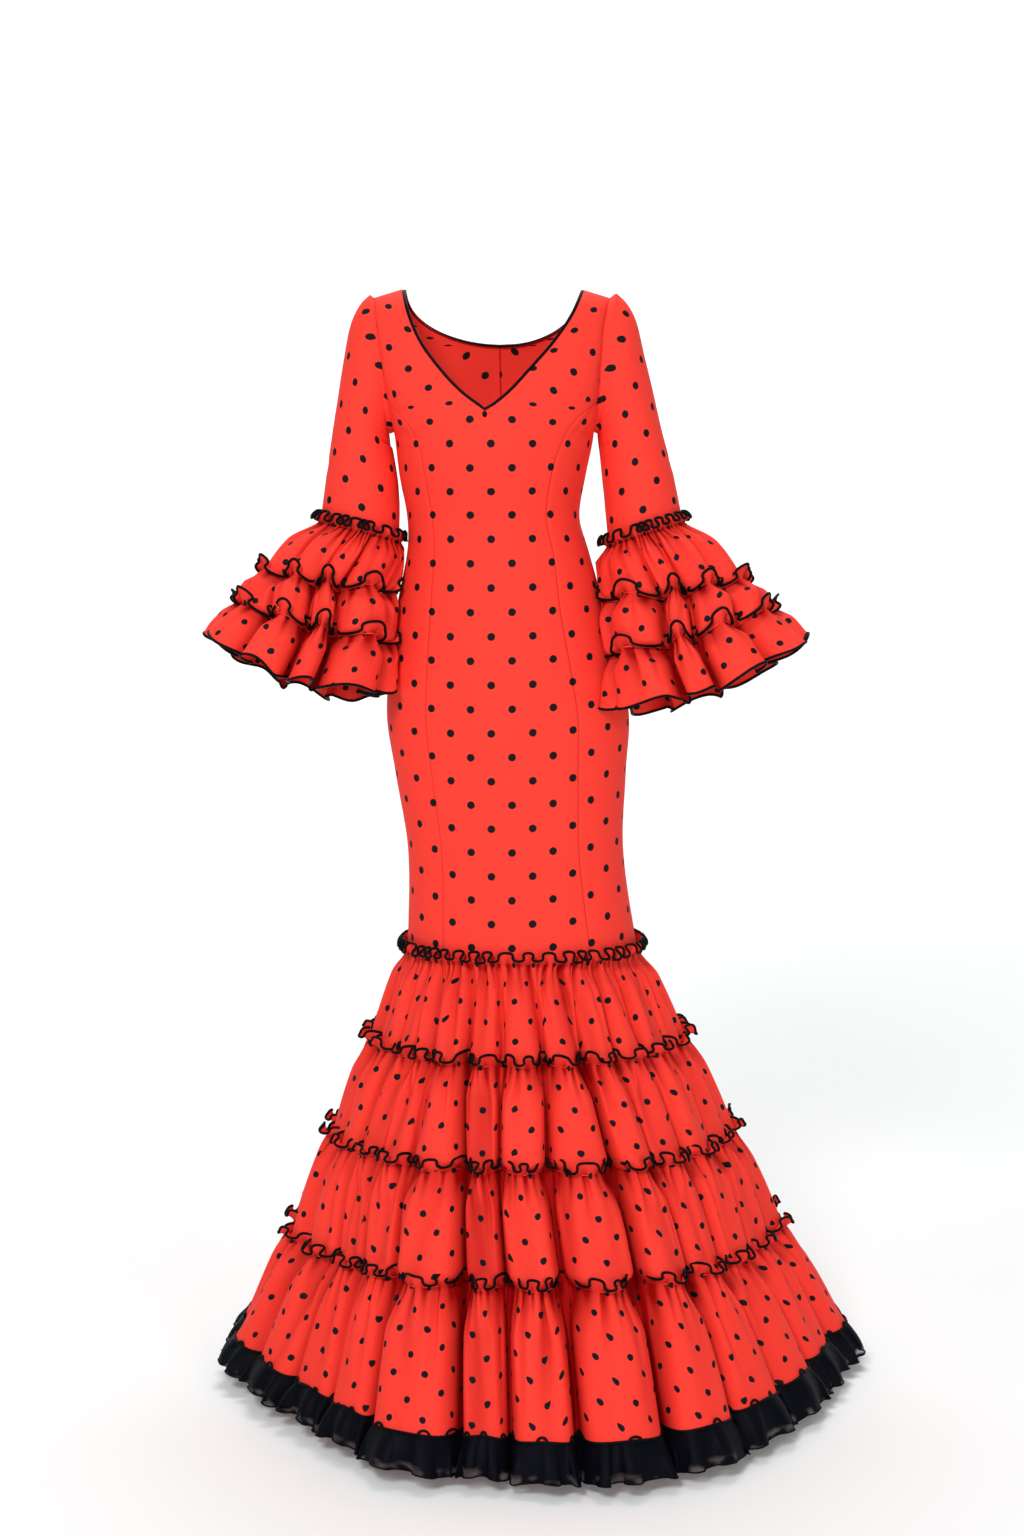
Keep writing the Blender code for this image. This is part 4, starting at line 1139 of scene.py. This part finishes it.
class TierForm:
    """A point of a tier for a place round it, a part of its height and a distance outward."""

    spread = 0.0

    def __init__(self, hoops, folds, backs, shape, sags, sewn_below):
        self.hoops, self.folds, self.backs = hoops, folds, backs
        self.shape, self.sags, self.sewn_below = shape, sags, sewn_below
        self.up = hoop_up(hoops[0])

    @cache
    def at(self, part):
        """The hoop and the folds at a part of the height, kept for the whole row."""
        folds = LineFolds(*(between(*lists, part) for lists in zip(*self.folds)))
        return Hoop(*between(*self.hoops, part)), folds

    def fullness(self, part):
        """The gathers open into tubes below the line, and are drawn in again where the next line is sewn."""
        opened = eased(part / OPEN_LENGTH) * (eased((1 - part) / CLOSE_LENGTH) if self.sewn_below else 1.0)
        return LINE_FULLNESS + (1 - LINE_FULLNESS) * opened

    def hollow_shade(self, place, part):
        """How much painted shade a fold gets: the share of light that its depth keeps out, painted into the
        cloth's colour.
        """
        full = self.fullness(part)
        behind = inset(self.at(part)[1].depths, place, full, self.shape.floor)
        return ((behind + 2 * full * set_back(self.backs, place)) / HOLLOW_DEPTH) ** HOLLOW_SHAPE

    def __call__(self, place, part, out=0.0):
        hoop, folds = self.at(part)
        full = self.fullness(part)
        hang = self.shape.overhang_shut * (1 - full) + self.shape.overhang_open * full + self.spread * part
        angle = valley_angle(folds.valleys, place - hang * math.sin(2 * math.pi * place))
        stand = out + self.shape.puff * swell(part, self.shape.puff_at) + carried(folds.reaches, place - 0.5)
        stand -= inset(folds.depths, place, full, self.shape.floor)
        stand -= set_back(self.backs, place) * (full - LINE_FULLNESS) / (1 - LINE_FULLNESS)
        sag = self.sags[0] + (self.sags[1] - self.sags[0]) * part
        return hoop_point(hoop, angle, stand) - UP * (sag * valley(place))


class KneeForm(TierForm):
    """The first tier starts on the body's own edge, which is squarer than a hoop."""

    def __call__(self, place, part, out=0.0):
        point = super().__call__(place, part, out)
        keep = max(0.0, 1 - part / self.shape.puff_at) ** 2
        if keep:
            angle = (valley_angle(self.at(0.0)[1].valleys, place) + 180) % 360 - 180
            start = on_body(BODY_LOW, angle, out)
            point = point.lerp(Vector((start.x, start.y, point.z)), keep)
        return point


# %%  The skirt tiers
SKIRT_SHAPE = TierShape(0.2, 0.007, 0.3, -0.05, 0.1)
SKIRT_HEIGHTS = (0.135, 0.145, 0.15, 0.18)  # cloth from line to line
SKIRT_SIZES = [TierSizes(*row) for row in (
    (0.0175, 14, 74, 0.0034, 0.0026, 0.014, 0.0104, 0.09, 0.009, 960, 30),
    (0.0175, 14, 72, 0.0034, 0.0028, 0.014, 0.0084, 0.07, 0.007, 1152, 30),
    (0.018, 14, 70, 0.0036, 0.003, 0.014, 0.009, 0.07, 0.0075, 1560, 30),
    (0.018, 14, 68, 0.0038, 0.0032, 0.016, 0.0096, 0.08, 0.008, 1896, 34),
)]
SKIRT_WAVES = [(44, 98, 52, 31), (58, 126, 64, 41), (72, 154, 76, 52), (86, 178, 88, 58)]  # as in TierWaves
SKIRT_EDGE = 0.0018  # radius of the rolled edges
NARROW_ROW = -8  # a row near the lower edge, where the cut width is read
tier_pieces, edge_pieces = {}, {}


def make_tier(name, sheet, edge_rows, edge_radius):
    """The cloth of a tier with its rolled edges."""
    tier_pieces[name] = cloth("cloth_" + name, [sheet], tier_crepe)
    edges = [sheet[0][row][:-1] for row in edge_rows]
    edge_pieces[name] = cord_along("edge_" + name, edges, edge_radius, thread)
    print(name, "is cut", round(distances_along(sheet[0][NARROW_ROW])[-1], 2), "m wide, area",
          round(area_of(tier_pieces[name]), 3))


for i, (sizes, height, (frill_count, *counts)) in enumerate(zip(SKIRT_SIZES, SKIRT_HEIGHTS, SKIRT_WAVES)):
    tier = i + 1
    kind = KneeForm if tier == 1 else TierForm
    form = kind((line_hoop(tier), line_hoop(tier + 1)), (line_folds(tier), line_folds(tier + 1)),
                skirt_backs(tier), SKIRT_SHAPE, SKIRT_SAGS[i:i + 2], tier < 4)
    frill_waves = Waves(frill_count, FOLDS, 10 + tier, 0.3, 0.3)
    waves = tier_waves(frill_waves, counts, FOLDS, 20 + tier, 10)
    make_tier(f"skirt_tier_{tier}", tier_sheet(form, FOLDS, sizes, waves, height), [0], SKIRT_EDGE)

# %% [markdown]
# ## The cuffs
# The three tiers on each sleeve are the same thing on a smaller ring, with nine deep folds and a broader
# frill that curls twice on each fold. The hem of the lowest is free, so its folds open like a flower. Where
# a cuff comes close to the body, its cloth is pushed clear of it.

# %%  Folds of the cuffs
CuffFold = namedtuple("CuffFold", "angle depth back")
CUFF_FOLDS = [CuffFold(*row) for row in (
    (-72, 0.9, 0.0), (-17, 1.2, 0.008), (5, 1.1, 0.0), (38, 0.9, 0.0), (80, 0.7, 0.0),
    (124, 1.0, 0.0), (164, 1.1, 0.0), (204, 0.9, 0.0), (246, 1.1, 0.0),
)]
CUFF_TURNS = (0, 3, -3, 0)  # degrees by which the folds are turned, line by line
CUFF_DEPTHS = (0.0, 0.03, 0.038, 0.05)
CUFF_SAGS = (0.0, 0.012, 0.012, 0.008)
CUFF_BACK_SHARES = (0.4, 1.0, 1.0)
CUFF_SHAPES = [TierShape(*row) for row in (
    (0.25, 0.016, 0.36, -0.08, 0.11), (0.42, 0.012, 0.36, -0.08, 0.11), (0.42, 0.006, 0.36, -0.08, 0.11),
)]
CUFF_CLEAR = 0.0042  # metres that a cuff keeps from the body


def cuff_folds(line):
    return LineFolds([fold.angle + CUFF_TURNS[line] for fold in CUFF_FOLDS],
                     [fold.depth * CUFF_DEPTHS[line] for fold in CUFF_FOLDS], [0.0] * len(CUFF_FOLDS))


def clear_of_body(point, sign):
    """A point pushed sideways until it is clear of the body."""
    section = section_at(round(point.z, 4))
    reach = section.half_width + CUFF_CLEAR
    depth = (section.front if point.y < 0 else section.back) + CUFF_CLEAR
    if abs(point.y) >= depth:
        return point
    share = 1 - (abs(point.y) / depth) ** (2 / ROUNDNESS)
    limit = section.centre * sign + reach * share ** (ROUNDNESS / 2)
    return Vector((sign * max(sign * point.x, limit), point.y, point.z))


def broadly_arched(place):
    """Places for a cuff's frill, which arches broadly over each puff and curls close to its valleys."""
    return place + 0.07 * math.sin(2 * math.pi * place)


# %%  The cuffs' tiers
CUFF_HEIGHTS = (0.085, 0.08, 0.085)
CUFF_SIZES = [TierSizes(*row) for row in (
    (0.016, 14, 76, 0.0026, 0.0032, 0.016, 0.0068, 0.055, 0.005, 480, 28, 0.003),
    (0.019, 24, 78, 0.006, 0.0032, 0.016, 0.007, 0.05, 0.005, 560, 28, 0.003),
    (0.019, 24, 78, 0.007, 0.0032, 0.016, 0.0072, 0.05, 0.0045, 640, 30, 0.003, 0.005),
)]
CUFF_WAVES = (44, 24, 14)  # puckers, pleats and soft folds on every cuff
CuffFrill = namedtuple("CuffFrill", "count shift phase")
CUFF_FRILLS = [CuffFrill(21, 0.25, 0.0), CuffFrill(18, 0.08, 0.5), CuffFrill(18, 0.08, 0.5)]
CUFF_EDGE = 0.0019
count = len(CUFF_FOLDS)
for side_name, sign in SIDES.items():
    rings = [SLEEVES[side_name][-1]] + CUFFS[side_name]
    hoops = [sleeve_hoop(ring, sign) for ring in rings]
    for tier in (1, 2, 3):
        i = tier - 1
        backs = [fold.back * CUFF_BACK_SHARES[i] for fold in CUFF_FOLDS]
        form = TierForm(hoops[i:i + 2], (cuff_folds(i), cuff_folds(tier)), backs, CUFF_SHAPES[i],
                        CUFF_SAGS[i:i + 2], tier < 3)
        seed = 50 + tier + (10 if sign > 0 else 0)
        frill = CUFF_FRILLS[i]
        frill_waves = Waves(frill.count, count, seed, 0.25, frill.shift, frill.phase)
        waves = tier_waves(frill_waves, CUFF_WAVES, count, seed + 100, 100)
        arching = [broadly_arched] if tier > 1 else []
        rows, flat, painted_shades = tier_sheet(form, count, CUFF_SIZES[i], waves, CUFF_HEIGHTS[i], *arching)
        rows = [[clear_of_body(point, sign) for point in row] for row in rows]
        edge_rows = [0, -1] if tier == 3 else [0]
        make_tier(f"sleeve_{side_name}_tier_{tier}", (rows, flat, painted_shades), edge_rows, CUFF_EDGE)

# %% [markdown]
# ## The black hem ruffle
# A strip of organza is gathered under the red hem. It stands a little further out than the red, so it shows
# all round as a dark band of small pleats. Its own lower edge has a fine cord, and where it is sewn on a
# black cord and small thread loops cover the stitching.

# %%  Organza ruffle and its cords
HEM_PLEATS = 92
HEM_COLUMNS, HEM_ROWS = 1800, 12
HEM_WAVE = 0.0062  # half the depth of its pleats
HEM_LOOP = 0.0016  # how far they curl sideways
FOLD_WIDTH = 0.115  # metres round the hem for one fold of the skirt
HEM_BEGUN = 0.35  # share of a pleat that is there at the seam
HEM_STAND = 0.0016
HEM_BELLY = 0.004  # how far the strip swings out half way down
HEM_LIFT = 0.012  # how much higher the ruffle swings at its -X end
HEM_RIPPLE, RIPPLE_TURN = 0.0012, 0.8  # height of the waves along its edge, and where they start
HEM_DROP = 0.001
HEM_SHALLOW = 0.75  # how much shallower the folds are at the ruffle's edge
HEM_EDGE, HEM_CORD, HEM_CORD_STAND = 0.0011, 0.002, 0.0014


class HemForm(TierForm):
    """The ruffle hangs from folds that are open already, and its folds reach further over the valleys."""

    spread = 0.055

    def fullness(self, part):
        return 1.0


hem_folds = line_folds(5)
shallow_folds = hem_folds._replace(depths=[depth * HEM_SHALLOW for depth in hem_folds.depths])
PLAIN_SHAPE = SKIRT_SHAPE._replace(puff=0.0, puff_at=1.0)
hem_form = HemForm((line_hoop(5), oval_hoop(HEM_LINE)), (hem_folds, shallow_folds), skirt_backs(5),
                   PLAIN_SHAPE, SKIRT_SAGS[-1:] * 2, False)
hem_waves = Waves(HEM_PLEATS, FOLDS, 71, 0.35, 0.3)


def hem_point(place, part):
    turn = hem_waves.turn(place)
    size = hem_waves.size(turn)
    growth = HEM_BEGUN + (1 - HEM_BEGUN) * part
    wave = HEM_WAVE * size * growth * math.cos(2 * math.pi * turn)
    slide = HEM_LOOP * growth * math.sin(4 * math.pi * turn) / FOLD_WIDTH
    point = hem_form(place + slide, part, HEM_STAND + wave + HEM_BELLY * math.sin(math.pi * part))
    lift = HEM_LIFT * max(0.0, -point.x / HEM_LINE.half_width)
    ripple = HEM_RIPPLE * size * math.cos(2 * math.pi * turn + RIPPLE_TURN)
    return point + UP * part * (ripple + lift - HEM_DROP)


hem_places = [FOLDS * i / HEM_COLUMNS for i in range(HEM_COLUMNS + 1)]
hem_rows = [[hem_point(place, r / HEM_ROWS) for place in hem_places] for r in range(HEM_ROWS + 1)]
hem_across = distances_along(hem_rows[HEM_ROWS // 2])
hem_flat = [[(across, 0.05 * r / HEM_ROWS) for across in hem_across] for r in range(HEM_ROWS + 1)]
hem = cloth("cloth_hem_ruffle", [(hem_rows, hem_flat, None)], organza)
hem_edge = cord_along("edge_hem_ruffle", [hem_rows[-1][:-1]], HEM_EDGE, thread)
join_path = [hem_form(place, 0.0, HEM_CORD_STAND) for place in hem_places[:-1:2]]
join_cord = cord_along("cord_hem_join", [join_path], HEM_CORD, thread)
print("hem ruffle cut", round(hem_across[-1], 2), "m wide, area", round(area_of(hem), 3))

# %%  Thread loops above the hem cord
LOOP_COUNT, LOOP_STEPS = 74, 8
LOOP_RADIUS, LOOP_STAND = 0.0017, 0.0026
chance = random.Random(5)
low_form = TierForm((line_hoop(4), line_hoop(5)), (line_folds(4), line_folds(5)), skirt_backs(4),
                    PLAIN_SHAPE, SKIRT_SAGS[-2:], False)
loops = []
for i in range(LOOP_COUNT):
    centre = FOLDS * (i + chance.uniform(-0.25, 0.25)) / LOOP_COUNT
    half, tall = chance.uniform(0.03, 0.046), chance.uniform(0.03, 0.044)
    path = []
    for step in range(LOOP_STEPS + 1):
        turn = math.pi * step / LOOP_STEPS
        path.append(low_form(centre - half * math.cos(turn), 1 - tall * math.sin(turn), LOOP_STAND))
    loops.append(path)
picots = cord_along("loops_hem_join", loops, LOOP_RADIUS, thread, closed=False)
print(len(loops), "thread loops")

# %% [markdown]
# ## Riding the frame
# Each piece of cloth stands for its solid, which is hidden. The dress has no moving joints, so everything
# rides on the one body.

# %% Riding and replacing
everything = []
for node, piece in body_pieces.items():
    kind = node.removesuffix("_left").removesuffix("_right")
    ["shoulders"] if kind in ("centre_front", "centre_back") else ["centre_front"]
    everything.append((node, piece))
for side_name, piece in sleeve_pieces.items():
    everything.append(("sleeve_" + side_name, piece))
for node, piece in tier_pieces.items():
    everything.append((node, piece))
everything.append(("hem_ruffle", hem))
for node, piece in everything:
    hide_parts(node)
    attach(piece, "root")
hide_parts("neck_piping")
trims = [piping, knot, hem_edge, join_cord, picots] + list(edge_pieces.values())
for trim in trims:
    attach(trim, "root")
print(len(everything), "pieces of cloth and", len(trims), "trims")

# %% [markdown]
# ## Studio, light and camera
# The dress is shown as in a catalogue: on a pale seamless backdrop, in soft even light with a little more
# from the upper left. A plane bent up behind the dress is enough for the backdrop. Large area lights keep
# the shadows soft, and the camera stands in front of the dress, level with its chest, and looks slightly
# down.

# %%  Backdrop
FLOOR = -1.484
FRONT_END, PAPER_WIDTH, PAPER_TOP = -6.0, 24, 6.0
SWEEP_START, SWEEP_RADIUS, SWEEP_STEPS = 5.4, 1.2, 12  # far enough back to walk round the dress
GLOW_FROM, GLOW_TO, GLOW = 0.4, 5.0, 0.46  # the paper's own glow stands in for a lit background
DIM, BRIGHT = (0.15, 0.15, 0.15, 1.0), (1.0, 1.0, 1.0, 1.0)
BackdropRow = namedtuple("BackdropRow", "y z")
profile = [BackdropRow(FRONT_END, FLOOR)]
for step in range(SWEEP_STEPS + 1):
    turn = math.pi / 2 * step / SWEEP_STEPS
    height = SWEEP_RADIUS * (1 - math.cos(turn))
    profile.append(BackdropRow(SWEEP_START + SWEEP_RADIUS * math.sin(turn), FLOOR + height))
profile.append(BackdropRow(SWEEP_START + SWEEP_RADIUS, PAPER_TOP))
paper = Finish("backdrop_paper")
behind = paper.parts(paper.own_place())[1]
paper_finish = paper.surface({
    "Base Color": (0.85, 0.87, 0.87, 1.0),
    "Roughness": 0.9,
    "Specular IOR Level": 0.1,
    "Emission Color": paper.mixed(paper.graded(behind, GLOW_FROM, GLOW_TO), DIM, BRIGHT),
    "Emission Strength": GLOW,
})
bm = bmesh.new()
made = bmesh.ops.create_grid(bm, x_segments=2, y_segments=len(profile) - 1, size=0.5)
for vert in made["verts"]:
    row = profile[round((vert.co.y + 0.5) * (len(profile) - 1))]
    vert.co = Vector((vert.co.x * PAPER_WIDTH, row.y, row.z))
backdrop = smooth_piece("backdrop", bm, paper_finish)
print("the backdrop's profile has", len(profile), "rows")

# %%  Light
StudioLight = namedtuple("StudioLight", "name place aim size power")
LIGHTS = [StudioLight(*row) for row in (
    ("key", (-1.1, -3.9, 1.8), (0.0, 0.0, -0.9), 1.2, 118),
    ("fill", (1.5, -3.6, -0.6), (0.0, 0.0, -1.2), 1.6, 28),
    ("top", (0.0, 1.0, 2.5), (0.0, 0.2, -1.2), 2.0, 60),
)]
ROOM_LIGHT = 0.4
world = bpy.data.worlds.new("studio")
world.use_nodes = True
background = world.node_tree.nodes["Background"]
background.inputs["Color"].default_value = BRIGHT
background.inputs["Strength"].default_value = ROOM_LIGHT
bpy.context.scene.world = world
for spec in LIGHTS:
    lamp = bpy.data.lights.new(spec.name, "AREA")
    lamp.shape = "DISK"
    lamp.size = spec.size
    lamp.energy = spec.power
    light = in_scene(spec.name, lamp)
    light.location = spec.place
    light.rotation_mode = "QUATERNION"
    light.rotation_quaternion = (Vector(spec.aim) - Vector(spec.place)).to_track_quat("-Z", "Y")
bpy.context.scene.view_settings.view_transform = "Standard"
print(len(LIGHTS), "lights")

# %%  Camera
CAMERA_PLACE = (0.0239, -3.45, -0.222)
LOOKS_DOWN = 6.9  # degrees
lens = bpy.data.cameras.new("camera")
lens.lens = 60
lens.sensor_width = 36
camera = in_scene("camera", lens)
camera.location = CAMERA_PLACE
camera.rotation_euler = (math.radians(90 - LOOKS_DOWN), 0.0, 0.0)
bpy.context.scene.camera = camera
print("the camera looks down by", LOOKS_DOWN, "degrees")
